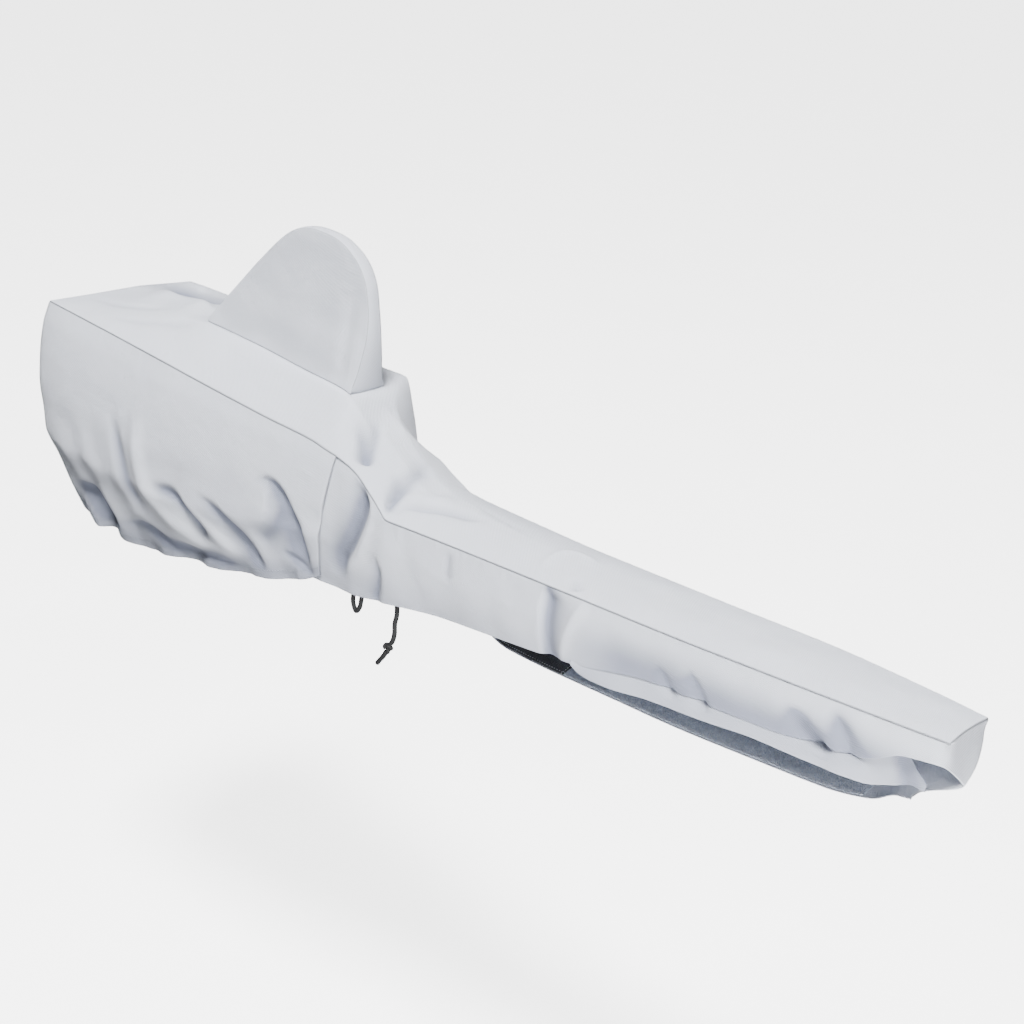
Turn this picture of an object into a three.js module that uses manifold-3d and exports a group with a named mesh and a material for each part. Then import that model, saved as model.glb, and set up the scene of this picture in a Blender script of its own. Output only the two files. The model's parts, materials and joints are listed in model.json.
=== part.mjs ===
import * as THREE from "three";
import { mergeVertices } from "three/addons/utils/BufferGeometryUtils.js";
import Module from "manifold-3d";

const wasm = await Module();
wasm.setup();

// Millimetres. +X runs forward along the tiller, the near side is at -Y and +Z is up. The tables measure from the
// neck's front corner, at seam height, and every solid is then shifted so that the origin is at the mount.
const cloth = 1.8;
const hemCloth = 3;
const tapeThick = 1;
const gap = 0.3;
const seamDrop = cloth + 2 * gap;
const cordDiameter = 3.6;
const mountX = -420;
const humpHoleHalf = 20;
const humpRear = -325;
const humpFront = -91;
const humpHoleInset = 7;
const stripHalf = 26;
const rearX = -526;
const hemRear = -488;
const headFront = -70;
const sleeveOverlap = 15;
const sleeveBow = 5;
const sleeveDepth = 96;
const neckLean = 26;
const tuckBehind = 4;
const tipX = 600;
const tapeWidth = 24;
const gatherDepth = 3.5;
const gatherPitch = 72;
const humpPuff = 3;
const humpCrease = 2.5;
const humpRise = 1.2;

// The top panel by station: half widths, seam heights and the height of its flat middle strip. A bend of 1 is a
// straight slope from strip to seam, and a larger one stays level and then drops.
const topTable = [
  { x: -526, near: 90, far: 104, nearZ: 108, farZ: 101, strip: 107, nearBend: 1.2, farBend: 1 },
  { x: -432, near: 87, far: 98, nearZ: 98, farZ: 102, strip: 112, nearBend: 1.2, farBend: 1.3 },
  { x: -344, near: 84, far: 90, nearZ: 88, farZ: 93, strip: 118, nearBend: 1.1, farBend: 1.5 },
  { x: -252, near: 79, far: 82, nearZ: 76, farZ: 86, strip: 113, nearBend: 1.05, farBend: 2 },
  { x: -165, near: 72, far: 70, nearZ: 64, farZ: 89, strip: 104, nearBend: 1.05, farBend: 4 },
  { x: -104, near: 64, far: 64, nearZ: 55, farZ: 95, strip: 98, nearBend: 1.05, farBend: 5 },
  { x: -85, near: 62, far: 59, nearZ: 50, farZ: 60, strip: 91, nearBend: 1.05, farBend: 2.4 },
  { x: -69, near: 60, far: 55, nearZ: 46, farZ: 21, strip: 73, nearBend: 1.05, farBend: 1.1 },
  { x: -42, near: 57, far: 53, nearZ: 34, farZ: 25, strip: 55, nearBend: 1, farBend: 1.2 },
  { x: -20, near: 57, far: 55, nearZ: 17, farZ: 13, strip: 37, nearBend: 1, farBend: 1.2 },
  { x: 0, near: 58, far: 57, nearZ: 1, farZ: 2, strip: 24, nearBend: 1, farBend: 1.2 },
  { x: 30, near: 56, far: 54, nearZ: 0, farZ: 0, strip: 16, nearBend: 1.1, farBend: 1.2 },
  { x: 90, near: 53, far: 50, nearZ: 0, farZ: 0, strip: 10, nearBend: 1.3, farBend: 1.3 },
  { x: 200, near: 49, far: 45, nearZ: 0, farZ: 0, strip: 7, nearBend: 1.5, farBend: 1.5 },
  { x: 340, near: 45, far: 45, nearZ: 0, farZ: 0, strip: 6, nearBend: 1.5, farBend: 1.5 },
  { x: 430, near: 40, far: 46, nearZ: 0, farZ: 0, strip: 6, nearBend: 1.5, farBend: 1.5 },
  { x: 550, near: 32, far: 38, nearZ: 0, farZ: 0, strip: 4, nearBend: 1.5, farBend: 1.5 },
  { x: 600, near: 28, far: 30, nearZ: 0, farZ: 1, strip: 3, nearBend: 1.5, farBend: 1.5 },
];

// The head's hem by place along each side, and how far the wall bellies out past the line from seam to hem.
const nearHem = [
  { x: -488, z: -131, belly: 32 },
  { x: -470, z: -137, belly: 31 },
  { x: -452, z: -143, belly: 31 },
  { x: -428, z: -140, belly: 31 },
  { x: -410, z: -146, belly: 31 },
  { x: -362, z: -145, belly: 30 },
  { x: -299, z: -135, belly: 27 },
  { x: -255, z: -131, belly: 25 },
  { x: -192, z: -121, belly: 20 },
  { x: -148, z: -112, belly: 16 },
  { x: -113, z: -101, belly: 13 },
  { x: -92, z: -90, belly: 10 },
];
const farHem = [
  { x: -488, z: -134, belly: 32 },
  { x: -430, z: -144, belly: 32 },
  { x: -350, z: -138, belly: 28 },
  { x: -260, z: -133, belly: 24 },
  { x: -180, z: -118, belly: 19 },
  { x: -120, z: -103, belly: 14 },
  { x: -92, z: -90, belly: 11 },
];
const rearHem = [
  { y: -90, z: -131, belly: 36 },
  { y: -40, z: -142, belly: 42 },
  { y: 15, z: -137, belly: 44 },
  { y: 65, z: -143, belly: 42 },
  { y: 104, z: -134, belly: 34 },
];
// The belly's share down the wall, from seam to hem: it swells, kinks and runs in to the drawn hem.
const bellyProfile = [
  { v: 0, out: 0 },
  { v: 0.1, out: 0.36 },
  { v: 0.28, out: 0.72 },
  { v: 0.45, out: 0.89 },
  { v: 0.6, out: 0.91 },
  { v: 0.73, out: 0.62 },
  { v: 0.86, out: 0.34 },
  { v: 1, out: 0 },
];

// The sleeve wall's lower edge on the near side, from the neck's hem to the pocket at the tip.
const nearEdge = [
  { x: -104, z: -98 },
  { x: -59, z: -97 },
  { x: 23, z: -86 },
  { x: 80, z: -81.5 },
  { x: 127, z: -79.5 },
  { x: 195, z: -73 },
  { x: 232, z: -69 },
  { x: 280, z: -59 },
  { x: 325, z: -54 },
  { x: 430, z: -53 },
  { x: 487, z: -50 },
  { x: 520, z: -47 },
  { x: 545, z: -36 },
  { x: 556, z: -29 },
  { x: 566, z: -25 },
  { x: 600, z: -21.5 },
];
// The far side hangs to wallZ and then turns under the tiller towards the near side, to edgeZ.
const farEdge = [
  { x: -104, wallZ: -74, edgeZ: -97, under: 0 },
  { x: -40, wallZ: -72, edgeZ: -95, under: 0 },
  { x: 40, wallZ: -68, edgeZ: -89, under: 4 },
  { x: 100, wallZ: -70, edgeZ: -100, under: 60 },
  { x: 140, wallZ: -72, edgeZ: -101, under: 68 },
  { x: 300, wallZ: -72, edgeZ: -101, under: 65 },
  { x: 420, wallZ: -70, edgeZ: -97, under: 64 },
  { x: 490, wallZ: -66, edgeZ: -92, under: 62 },
  { x: 535, wallZ: -60, edgeZ: -83, under: 58 },
  { x: 560, wallZ: -55, edgeZ: -70, under: 53 },
  { x: 580, wallZ: -54, edgeZ: -68, under: 38 },
  { x: 600, wallZ: -53, edgeZ: -66, under: 3 },
];
// The closure flap shows below the near edge and widens into the pocket.
const flapEdges = [
  { x: 238, top: -56, bottom: -73.5 },
  { x: 280, top: -46, bottom: -75 },
  { x: 330, top: -41, bottom: -71 },
  { x: 377, top: -41, bottom: -69 },
  { x: 433, top: -40, bottom: -65 },
  { x: 487, top: -37, bottom: -66 },
  { x: 530, top: -26, bottom: -66 },
  { x: 556, top: -16, bottom: -57 },
  { x: 566, top: -24, bottom: -53 },
  { x: 576, top: -36, bottom: -50 },
  { x: 585, top: -44, bottom: -50 },
];

// The hump's outline, from the top panel behind it, over the crown and down its bulging front.
const humpOutline = [
  { x: -323, z: 123 },
  { x: -294, z: 156 },
  { x: -255, z: 196 },
  { x: -214, z: 230 },
  { x: -198, z: 239 },
  { x: -176, z: 245 },
  { x: -151, z: 245 },
  { x: -126, z: 240 },
  { x: -102, z: 225 },
  { x: -90, z: 207 },
  { x: -85, z: 183 },
  { x: -84, z: 155 },
  { x: -87, z: 130 },
  { x: -92, z: 103 },
];
// Its faces lean together: the half width by height over the top panel.
const humpWidth = [
  { up: 0, half: 23 },
  { up: 20, half: 17.5 },
  { up: 37, half: 14.5 },
  { up: 65, half: 10 },
  { up: 95, half: 8 },
  { up: 130, half: 8 },
  { up: 152, half: 7 },
];

// Troughs and ridges pressed into the cloth: each runs from one end to the other and fades over its width.
const nearWallFolds = [
  { x0: -153, z0: 1, x1: -118, z1: -29, depth: -8, width: 13 },
  { x0: -118, z0: -29, x1: -107, z1: -70, depth: -10, width: 12 },
  { x0: -170, z0: -38, x1: -152, z1: -84, depth: 7, width: 15 },
  { x0: -256, z0: -46, x1: -168, z1: -91, depth: -8, width: 13 },
  { x0: -323, z0: -59, x1: -249, z1: -87, depth: -7, width: 12 },
  { x0: -352, z0: -100, x1: -318, z1: -116, depth: 6, width: 9 },
  { x0: -400, z0: -48, x1: -384, z1: -98, depth: 6, width: 13 },
  { x0: -474, z0: -103, x1: -402, z1: -118, depth: -9, width: 12 },
];
const farWallFolds = [
  { x0: -450, z0: -50, x1: -395, z1: -112, depth: -8, width: 14 },
  { x0: -360, z0: -30, x1: -330, z1: -100, depth: 6, width: 14 },
  { x0: -290, z0: -48, x1: -215, z1: -92, depth: -8, width: 13 },
  { x0: -165, z0: 5, x1: -125, z1: -60, depth: -9, width: 13 },
];
const rearWallFolds = [
  { x0: -52, z0: -10, x1: -30, z1: -110, depth: -7, width: 14 },
  { x0: 18, z0: -30, x1: 8, z1: -118, depth: 6, width: 13 },
  { x0: 70, z0: -5, x1: 48, z1: -105, depth: -8, width: 14 },
];
const nearSleeveFolds = [
  { x0: -20, z0: 14, x1: -22, z1: -17, depth: -4, width: 9 },
  { x0: -22, z0: -17, x1: -40, z1: -57, depth: -4, width: 11 },
  { x0: 200, z0: -4, x1: 203, z1: -66, depth: -5, width: 10 },
  { x0: 246, z0: -4, x1: 228, z1: -55, depth: 4, width: 9 },
  { x0: 334, z0: -38, x1: 373, z1: -30, depth: -4, width: 9 },
  { x0: 466, z0: -22, x1: 492, z1: -42, depth: -5, width: 9 },
  { x0: 500, z0: -12, x1: 512, z1: -24, depth: -4, width: 8 },
];
const farSleeveFolds = [
  { x0: -10, z0: 5, x1: -34, z1: -60, depth: -4, width: 11 },
  { x0: 150, z0: -6, x1: 138, z1: -60, depth: -5, width: 10 },
  { x0: 290, z0: -8, x1: 312, z1: -58, depth: 4, width: 10 },
  { x0: 440, z0: -10, x1: 452, z1: -50, depth: -4, width: 9 },
];
// On the top panel z0 and z1 are places across it.
const topFolds = [
  { x0: 4, z0: -54, x1: -26, z1: -14, depth: 4, width: 8 },
  { x0: 8, z0: -50, x1: -14, z1: -6, depth: -4, width: 7 },
  { x0: 12, z0: -48, x1: 34, z1: 10, depth: 4, width: 9 },
  { x0: 18, z0: -46, x1: 66, z1: -10, depth: -3, width: 9 },
  { x0: -456, z0: 22, x1: -372, z1: 18, depth: 5, width: 12 },
  { x0: -500, z0: 60, x1: -420, z1: 48, depth: -5, width: 13 },
  { x0: -512, z0: 92, x1: -470, z1: 84, depth: 6, width: 15 },
  { x0: 228, z0: -34, x1: 262, z1: -4, depth: -3, width: 10 },
];

// A smooth value from a table, by its key column.
function from(table, column, at, key = "x") {
  const last = table.length - 1;
  if (at <= table[0][key]) return table[0][column];
  if (at >= table[last][key]) return table[last][column];
  let i = 0;
  while (at > table[i + 1][key]) i++;
  const step = table[i + 1][key] - table[i][key];
  const rise = (table[i + 1][column] - table[i][column]) / step;
  const slope = (k) => {
    if (k <= 0 || k >= last) return rise;
    const before = (table[k][column] - table[k - 1][column]) / (table[k][key] - table[k - 1][key]);
    const after = (table[k + 1][column] - table[k][column]) / (table[k + 1][key] - table[k][key]);
    return before * after <= 0 ? 0 : (2 * before * after) / (before + after);
  };
  const t = (at - table[i][key]) / step;
  const a = table[i][column];
  const b = table[i + 1][column];
  const tt = t * t;
  const ttt = tt * t;
  return (
    a * (2 * ttt - 3 * tt + 1) +
    slope(i) * step * (ttt - 2 * tt + t) +
    b * (3 * tt - 2 * ttt) +
    slope(i + 1) * step * (ttt - tt)
  );
}

// The strip is level under the hump and narrows where the panel drops to the tiller.
function stripAt(x) {
  const wide = Math.min(stripHalf, 0.42 * from(topTable, "near", x));
  return wide * (1 - 0.6 * THREE.MathUtils.smoothstep(x, humpFront, headFront + 30));
}

function foldHeight(folds, a, b) {
  let sum = 0;
  for (const f of folds) {
    const dx = f.x1 - f.x0;
    const dz = f.z1 - f.z0;
    const t = THREE.MathUtils.clamp(((a - f.x0) * dx + (b - f.z0) * dz) / (dx * dx + dz * dz), 0, 1);
    const away = Math.hypot(a - f.x0 - t * dx, b - f.z0 - t * dz);
    sum += f.depth * Math.exp(-((away / f.width) ** 2));
  }
  return sum;
}

// The height of the top panel at a place across it, from -1 at the near seam to 1 at the far one.
function topAt(x, across) {
  const near = from(topTable, "near", x);
  const far = from(topTable, "far", x);
  const strip = stripAt(x);
  const side = across < 0 ? "near" : "far";
  const half = across < 0 ? near : far;
  const flat = strip / half;
  const beyond = Math.max(0, (Math.abs(across) - flat) / (1 - flat));
  const stripZ = from(topTable, "strip", x);
  const seamZ = from(topTable, side + "Z", x);
  const y = across * half;
  const onStrip = Math.abs(y) < stripHalf + 1 && x > humpRear - 15 && x < humpFront + 15;
  const fade = onStrip ? 0 : Math.min(1, (1 - Math.abs(across)) * 5);
  const z = stripZ - (stripZ - seamZ) * beyond ** from(topTable, side + "Bend", x);
  return new THREE.Vector3(x, y, z + fade * foldHeight(topFolds, x, y));
}

// Closes a grid of points on the cloth's outer face into a solid sheet. The outward side is that of the first
// direction crossed with the second. Cells that skip() names are left out, and a hole's rim is cut straight down.
function sheet(grid, { thick = () => cloth, skip = () => false, uprightRim = false } = {}) {
  const rows = grid.length;
  const cols = grid[0].length;
  const at = (i, j) =>
    grid[THREE.MathUtils.clamp(i, 0, rows - 1)][THREE.MathUtils.clamp(j, 0, cols - 1)];
  const outer = [];
  const inner = [];
  const keeps = (i, j) => i >= 0 && j >= 0 && i < rows - 1 && j < cols - 1 && !skip(i, j);
  for (let i = 0; i < rows; i++)
    for (let j = 0; j < cols; j++) {
      const along = at(i + 1, j).clone().sub(at(i - 1, j));
      const down = at(i, j + 1).clone().sub(at(i, j - 1));
      const normal = along.cross(down).normalize();
      const inside = i > 0 && j > 0 && i < rows - 1 && j < cols - 1;
      const atRim = inside && !(keeps(i, j) && keeps(i - 1, j) && keeps(i, j - 1) && keeps(i - 1, j - 1));
      if (uprightRim && atRim) normal.set(0, 0, 1);
      outer.push(at(i, j));
      inner.push(at(i, j).clone().addScaledVector(normal, -thick(i, j)));
    }
  const count = rows * cols;
  const points = [...outer, ...inner];
  const faces = [];
  const edges = new Map();
  for (let i = 0; i < rows - 1; i++)
    for (let j = 0; j < cols - 1; j++) {
      if (!keeps(i, j)) continue;
      const ring = [i * cols + j, (i + 1) * cols + j, (i + 1) * cols + j + 1, i * cols + j + 1];
      const [a, b, c, d] = ring;
      faces.push([a, b, c], [a, c, d]);
      faces.push([a + count, c + count, b + count], [a + count, d + count, c + count]);
      ring.forEach((p, k) => edges.set(p + " " + ring[(k + 1) % 4], [p, ring[(k + 1) % 4]]));
    }
  for (const [p, q] of edges.values()) {
    if (edges.has(q + " " + p)) continue;
    faces.push([q, p, p + count], [q, p + count, q + count]);
  }
  return solidGeometry(points, faces);
}

function solidGeometry(points, faces) {
  const used = new Map();
  const kept = [];
  const index = faces.flat().map((p) => {
    if (!used.has(p)) {
      used.set(p, kept.length);
      kept.push(points[p]);
    }
    return used.get(p);
  });
  const geometry = new THREE.BufferGeometry().setFromPoints(kept);
  geometry.setIndex(index);
  return geometry;
}

// Stations that the top panel and the walls under it share, so that their edges run together.
function stationsBetween(list) {
  const out = [];
  list.forEach(([start, end, steps], k) => {
    for (let i = k ? 1 : 0; i <= steps; i++) out.push(start + ((end - start) * i) / steps);
  });
  return out;
}
const holeRear = humpRear + humpHoleInset;
const holeFront = humpFront - humpHoleInset;
const stations = stationsBetween([
  [rearX, holeRear, 9],
  [holeRear, holeFront, 10],
  [holeFront, headFront, 2],
  [headFront, 60, 12],
  [60, 240, 6],
  [240, 520, 8],
  [520, tipX, 4],
]);

// Places across the top panel at a station: four steps up each slope and the flat strip with the hole's edges.
function acrossAt(x) {
  const near = from(topTable, "near", x);
  const far = from(topTable, "far", x);
  const strip = stripAt(x);
  const hole = (strip * humpHoleHalf) / stripHalf;
  const nearSlope = [0, 0.25, 0.5, 0.75].map((t) => -1 + t * (1 - strip / near));
  const farSlope = [0.25, 0.5, 0.75, 1].map((t) => strip / far + t * (1 - strip / far));
  return [...nearSlope, -strip / near, -hole / near, 0, hole / far, strip / far, ...farSlope];
}

const topGrid = stations.map((x) => acrossAt(x).map((across) => topAt(x, across)));
const holeColumns = [5, 7];

function topPanel() {
  const inHole = (i, j) =>
    stations[i] >= holeRear - 1 && stations[i + 1] <= holeFront + 1 && j >= holeColumns[0] && j < holeColumns[1];
  return sheet(topGrid, { skip: inHole, uprightRim: true });
}

// Where a wall starts: just under the top panel's edge, square to the seam line.
function underEdge(line, k) {
  const before = line[Math.max(0, k - 1)];
  const after = line[Math.min(line.length - 1, k + 1)];
  const run = after.clone().sub(before);
  const level = Math.hypot(run.x, run.y);
  const length = run.length();
  const down = new THREE.Vector3((run.x * run.z) / level, (run.y * run.z) / level, -level);
  return line[k].clone().addScaledVector(down, seamDrop / length);
}

const nearLine = topGrid.map((row) => row[0]);
const farLine = topGrid.map((row) => row[row.length - 1]);
const rearLine = topGrid[0];
const tipLine = topGrid[topGrid.length - 1];

const headRows = 13;

// One column of the head wall, from under the seam to the hem.
function headColumn(seam, hem, outward, belly, folds, along) {
  const gathers = gatherDepth * (1 - THREE.MathUtils.smoothstep(seam.x, headFront - 70, headFront - 10));
  const column = [];
  for (let k = 0; k <= headRows; k++) {
    const v = k / headRows;
    const p = seam.clone().lerp(hem, v);
    const ripple = gathers * THREE.MathUtils.smoothstep(v, 0.78, 1) * Math.sin((2 * Math.PI * along) / gatherPitch);
    const fade = THREE.MathUtils.smoothstep(v, 0, 0.15);
    const out = belly * from(bellyProfile, "out", v, "v") + ripple + fade * foldHeight(folds.list, folds.at(p), p.z);
    p.addScaledVector(outward, out);
    column.push(p);
  }
  return column;
}

// The hem's place under a seam station: the wall leans back at its front edge and runs in at the rear.
function hemX(x) {
  const back = 22 * THREE.MathUtils.smoothstep(x, headFront - 80, headFront);
  const inward = (hemRear - rearX) * (1 - THREE.MathUtils.smoothstep(x, rearX, rearX + 126));
  return x - back + inward;
}

function headWall() {
  const onHead = stations.filter((x) => x <= headFront + 0.01).length;
  const columns = [];
  let along = 0;
  const side = (k, line, table, folds, sign) => {
    const x = stations[k];
    const at = hemX(x);
    const nearCorner = 1 - THREE.MathUtils.smoothstep(x, rearX, rearX + 56);
    const outward = new THREE.Vector3(-0.75 * nearCorner, sign, 0).normalize();
    const half = Math.abs(line[k].y);
    const drawn = 4 * (1 - THREE.MathUtils.smoothstep(x, headFront - 80, headFront)) - 1;
    const hem = new THREE.Vector3(at, sign * (half - drawn), from(table, "z", at));
    along += 21;
    columns.push(
      headColumn(underEdge(line, k), hem, outward, from(table, "belly", at), { list: folds, at: (p) => p.x }, along),
    );
  };
  for (let k = onHead - 1; k >= 0; k--) side(k, nearLine, nearHem, nearWallFolds, -1);
  for (let j = 1; j < rearLine.length - 1; j++) {
    const y = rearLine[j].y;
    const hem = new THREE.Vector3(hemRear, y * 0.95, from(rearHem, "z", y, "y"));
    const bow = 3 * (1 - (y / 100) ** 2);
    hem.x -= bow;
    const outward = new THREE.Vector3(-1, (0.35 * y ** 3) / 90 ** 3, 0).normalize();
    along += 15;
    columns.push(
      headColumn(
        underEdge(rearLine, j),
        hem,
        outward,
        from(rearHem, "belly", y, "y"),
        { list: rearWallFolds, at: (p) => p.y },
        along,
      ),
    );
  }
  for (let k = 0; k < onHead; k++) side(k, farLine, farHem, farWallFolds, 1);
  return sheet(columns, { thick: (i, j) => (j > headRows - 3 ? hemCloth : cloth) });
}

// The sleeve is tucked behind the head wall's front edge, and comes out to the seam line in front of it.
const clearOfHead = (x) => THREE.MathUtils.smoothstep(x, headFront - 2, headFront + 26);
const bowAt = (x) => sleeveBow * clearOfHead(x) * (1 - 0.8 * THREE.MathUtils.smoothstep(x, tipX - 50, tipX));
// The wall at the tip leans back a little and rounds in at its foot.
const leanBack = (x, down) =>
  THREE.MathUtils.smoothstep(x, tipX - 60, tipX) * (0.06 * down + 5 * (down / 60) ** 4);

// The sleeve's near side bows out a little whatever its depth, so the closure flap can follow it lower down.
function nearSleeveOut(x, z, seamZ) {
  const tuck = tuckBehind * (1 - clearOfHead(x));
  const share = THREE.MathUtils.clamp((seamZ - z) / (seamZ + sleeveDepth), 0, 1);
  const bow = bowAt(x) * Math.sin(Math.PI * share);
  const fade = THREE.MathUtils.smoothstep(seamZ - z, 0, 12);
  return bow - tuck + fade * foldHeight(nearSleeveFolds, x, z);
}

const sleeveRows = 10;

function nearSleeveColumn(seam, outward) {
  const lean = -neckLean * (1 - THREE.MathUtils.smoothstep(seam.x, headFront - sleeveOverlap, -10));
  const edge = from(nearEdge, "z", seam.x + lean);
  const column = [];
  for (let k = 0; k <= sleeveRows; k++) {
    const v = k / sleeveRows;
    const p = seam.clone();
    p.z += (edge - seam.z) * v;
    p.x += lean * v - leanBack(seam.x, seam.z - p.z);
    p.addScaledVector(outward, nearSleeveOut(seam.x + lean * v, p.z, seam.z));
    column.push(p);
  }
  return column;
}

function farSleeveColumn(seam, outward) {
  const lean = -neckLean * (1 - THREE.MathUtils.smoothstep(seam.x, headFront - sleeveOverlap, -10));
  const wallZ = from(farEdge, "wallZ", seam.x);
  const edgeZ = from(farEdge, "edgeZ", seam.x);
  const under = from(farEdge, "under", seam.x);
  const tuck = tuckBehind * (1 - clearOfHead(seam.x));
  const turn = 0.55;
  const column = [];
  for (let k = 0; k <= sleeveRows; k++) {
    const v = k / sleeveRows;
    const down = Math.min(1, v / turn);
    const turned = Math.max(0, v - turn) / (1 - turn);
    const round = (turned * Math.PI) / 2;
    const p = seam.clone();
    p.z += (wallZ - seam.z) * down + (edgeZ - wallZ) * (0.35 * Math.sin(round) + 0.65 * turned ** 1.4);
    p.x += lean * v - leanBack(seam.x, seam.z - p.z);
    const bow = bowAt(seam.x) * Math.sin(Math.PI * Math.min(1, v / (turn + 0.2)));
    const fade = THREE.MathUtils.smoothstep(seam.z - p.z, 0, 12);
    const out = bow - tuck - under * (1 - Math.cos(round)) + fade * foldHeight(farSleeveFolds, seam.x, p.z);
    column.push(p.addScaledVector(outward, out));
  }
  return column;
}

const onSleeve = stations.findIndex((x) => x > headFront - 0.01);

function sleeveWall() {
  const columns = [];
  const extra = [nearLine[onSleeve], farLine[onSleeve]].map((p) => {
    const q = p.clone();
    q.x -= sleeveOverlap;
    q.z -= seamDrop;
    return q;
  });
  const nearOut = new THREE.Vector3(0, -1, 0);
  const farOut = new THREE.Vector3(0, 1, 0);
  const cornerShare = (k) => THREE.MathUtils.smoothstep(stations[k], tipX - 30, tipX) * 0.6;
  const tipColumn = (j) => {
    const seam = underEdge(tipLine, j);
    const share = (tipLine[j].y - tipLine[0].y) / (tipLine[tipLine.length - 1].y - tipLine[0].y);
    const outward = new THREE.Vector3(1, 0.2 * (2 * share - 1), 0).normalize();
    const edge = THREE.MathUtils.lerp(from(nearEdge, "z", tipX), from(farEdge, "edgeZ", tipX), share);
    const column = [];
    for (let k = 0; k <= sleeveRows; k++) {
      const v = k / sleeveRows;
      const p = seam.clone();
      p.z += (edge - seam.z) * v;
      column.push(p.addScaledVector(outward, 0.6 * Math.sin(Math.PI * v) - leanBack(tipX, seam.z - p.z)));
    }
    return column;
  };
  columns.push(farSleeveColumn(extra[1], farOut));
  for (let k = onSleeve; k < stations.length; k++) {
    const outward = farOut.clone().setX(cornerShare(k)).normalize();
    columns.push(farSleeveColumn(underEdge(farLine, k), outward));
  }
  for (let j = tipLine.length - 2; j > 0; j -= 2) columns.push(tipColumn(j));
  for (let k = stations.length - 1; k >= onSleeve; k--) {
    const outward = nearOut.clone().setX(cornerShare(k)).normalize();
    columns.push(nearSleeveColumn(underEdge(nearLine, k), outward));
  }
  columns.push(nearSleeveColumn(extra[0], nearOut));
  return sheet(columns);
}

function closureFlap() {
  const inset = cloth + 3 * gap;
  const columns = [];
  const last = flapEdges[flapEdges.length - 1].x;
  const xs = [...stations.filter((x) => x > 230 && x < last - 6), last];
  for (const x of xs) {
    const top = from(flapEdges, "top", x);
    const bottom = from(flapEdges, "bottom", x);
    const half = from(topTable, "near", x);
    const column = [];
    for (let k = 0; k <= 3; k++) {
      const z = top + ((bottom - top) * k) / 3;
      const curl = 2.5 * THREE.MathUtils.smoothstep(-z, -top, -bottom);
      column.push(new THREE.Vector3(x, -(half - inset + nearSleeveOut(x, z, -seamDrop) - curl), z));
    }
    columns.push(column);
  }
  return sheet(columns.reverse());
}

// A tape lies on the inner face of the far edge, where it turns under the tiller. It is read off the wall's own
// columns, so that the two lie close all along.
function edgeTape(startX, endX) {
  const columnAt = (x) => {
    const seam = new THREE.Vector3(x, from(topTable, "far", x), -seamDrop);
    return farSleeveColumn(seam, new THREE.Vector3(0, 1, 0));
  };
  const wallAt = (x) => {
    const next = stations.findIndex((station) => station > x);
    const share = (x - stations[next - 1]) / (stations[next] - stations[next - 1]);
    const after = columnAt(stations[next]);
    return columnAt(stations[next - 1]).map((p, k) => p.lerp(after[k], share));
  };
  const columns = [];
  for (const x of [startX, ...stations.filter((station) => station > startX && station < endX), endX]) {
    const wall = wallAt(x);
    const column = [];
    for (let m = 0; m <= 3; m++) {
      const y = wall[sleeveRows].y + 0.6 + (tapeWidth * m) / 3;
      const k = wall.findIndex((p) => p.y < y && p.z < -60);
      const share = (y - wall[k].y) / (wall[k - 1].y - wall[k].y);
      const z = THREE.MathUtils.lerp(wall[k].z, wall[k - 1].z, share);
      column.push(new THREE.Vector3(x, y, z + cloth + 2 * gap + tapeThick));
    }
    columns.push(column);
  }
  return sheet(columns, { thick: () => tapeThick });
}

// The hump's faces fan up from the base line on the top panel to the outline.
function humpBase(t) {
  const x = THREE.MathUtils.lerp(humpRear + 2, humpFront - 2, t);
  return new THREE.Vector3(x, 0, from(topTable, "strip", x) + humpRise);
}
const humpSteps = 22;
const outlineCurve = new THREE.CatmullRomCurve3(humpOutline.map((p) => new THREE.Vector3(p.x, 0, p.z)));

const humpHalfAt = (p) => from(humpWidth, "half", p.z - from(topTable, "strip", p.x), "up");

function humpFace(sign) {
  const rows = 8;
  const grid = [];
  for (let i = 0; i <= humpSteps; i++) {
    const t = i / humpSteps;
    const top = outlineCurve.getPointAt(t);
    const base = humpBase(t);
    const column = [];
    for (let k = 0; k <= rows; k++) {
      const r = k / rows;
      const p = base.clone().lerp(top, r);
      const puff = humpPuff * Math.sin(Math.PI * r) * Math.sin(Math.PI * t);
      const bend = humpCrease * Math.exp(-(((p.x + 104 - (p.z - 190) * 0.12) / 10) ** 2)) * Math.sin(Math.PI * r);
      p.y = sign * (humpHalfAt(p) + puff - bend);
      column.push(p);
    }
    grid.push(column);
  }
  return sheet(sign < 0 ? grid : grid.reverse());
}

// The strip between the faces follows the outline, and its last row drops to the top panel in front.
function humpGusset() {
  const foot = new THREE.Vector3(humpFront - 2.5, 0, from(topTable, "strip", humpFront - 2.5) + humpRise + 0.4);
  const grid = [];
  for (let i = 0; i <= humpSteps + 1; i++) {
    const t = Math.min(1, i / humpSteps);
    const p = i > humpSteps ? foot : outlineCurve.getPointAt(t);
    const run = outlineCurve.getTangentAt(t);
    const outward = new THREE.Vector3(-run.z, 0, run.x);
    const half = humpHalfAt(p) - 1.1 * (cloth + gap);
    const row = [];
    for (let k = 0; k <= 4; k++) {
      const across = k / 2 - 1;
      const q = p.clone().addScaledVector(outward, 1.5 * (1 - across * across));
      q.y = across * half;
      row.push(q);
    }
    grid.push(row);
  }
  return sheet(grid);
}

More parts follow.
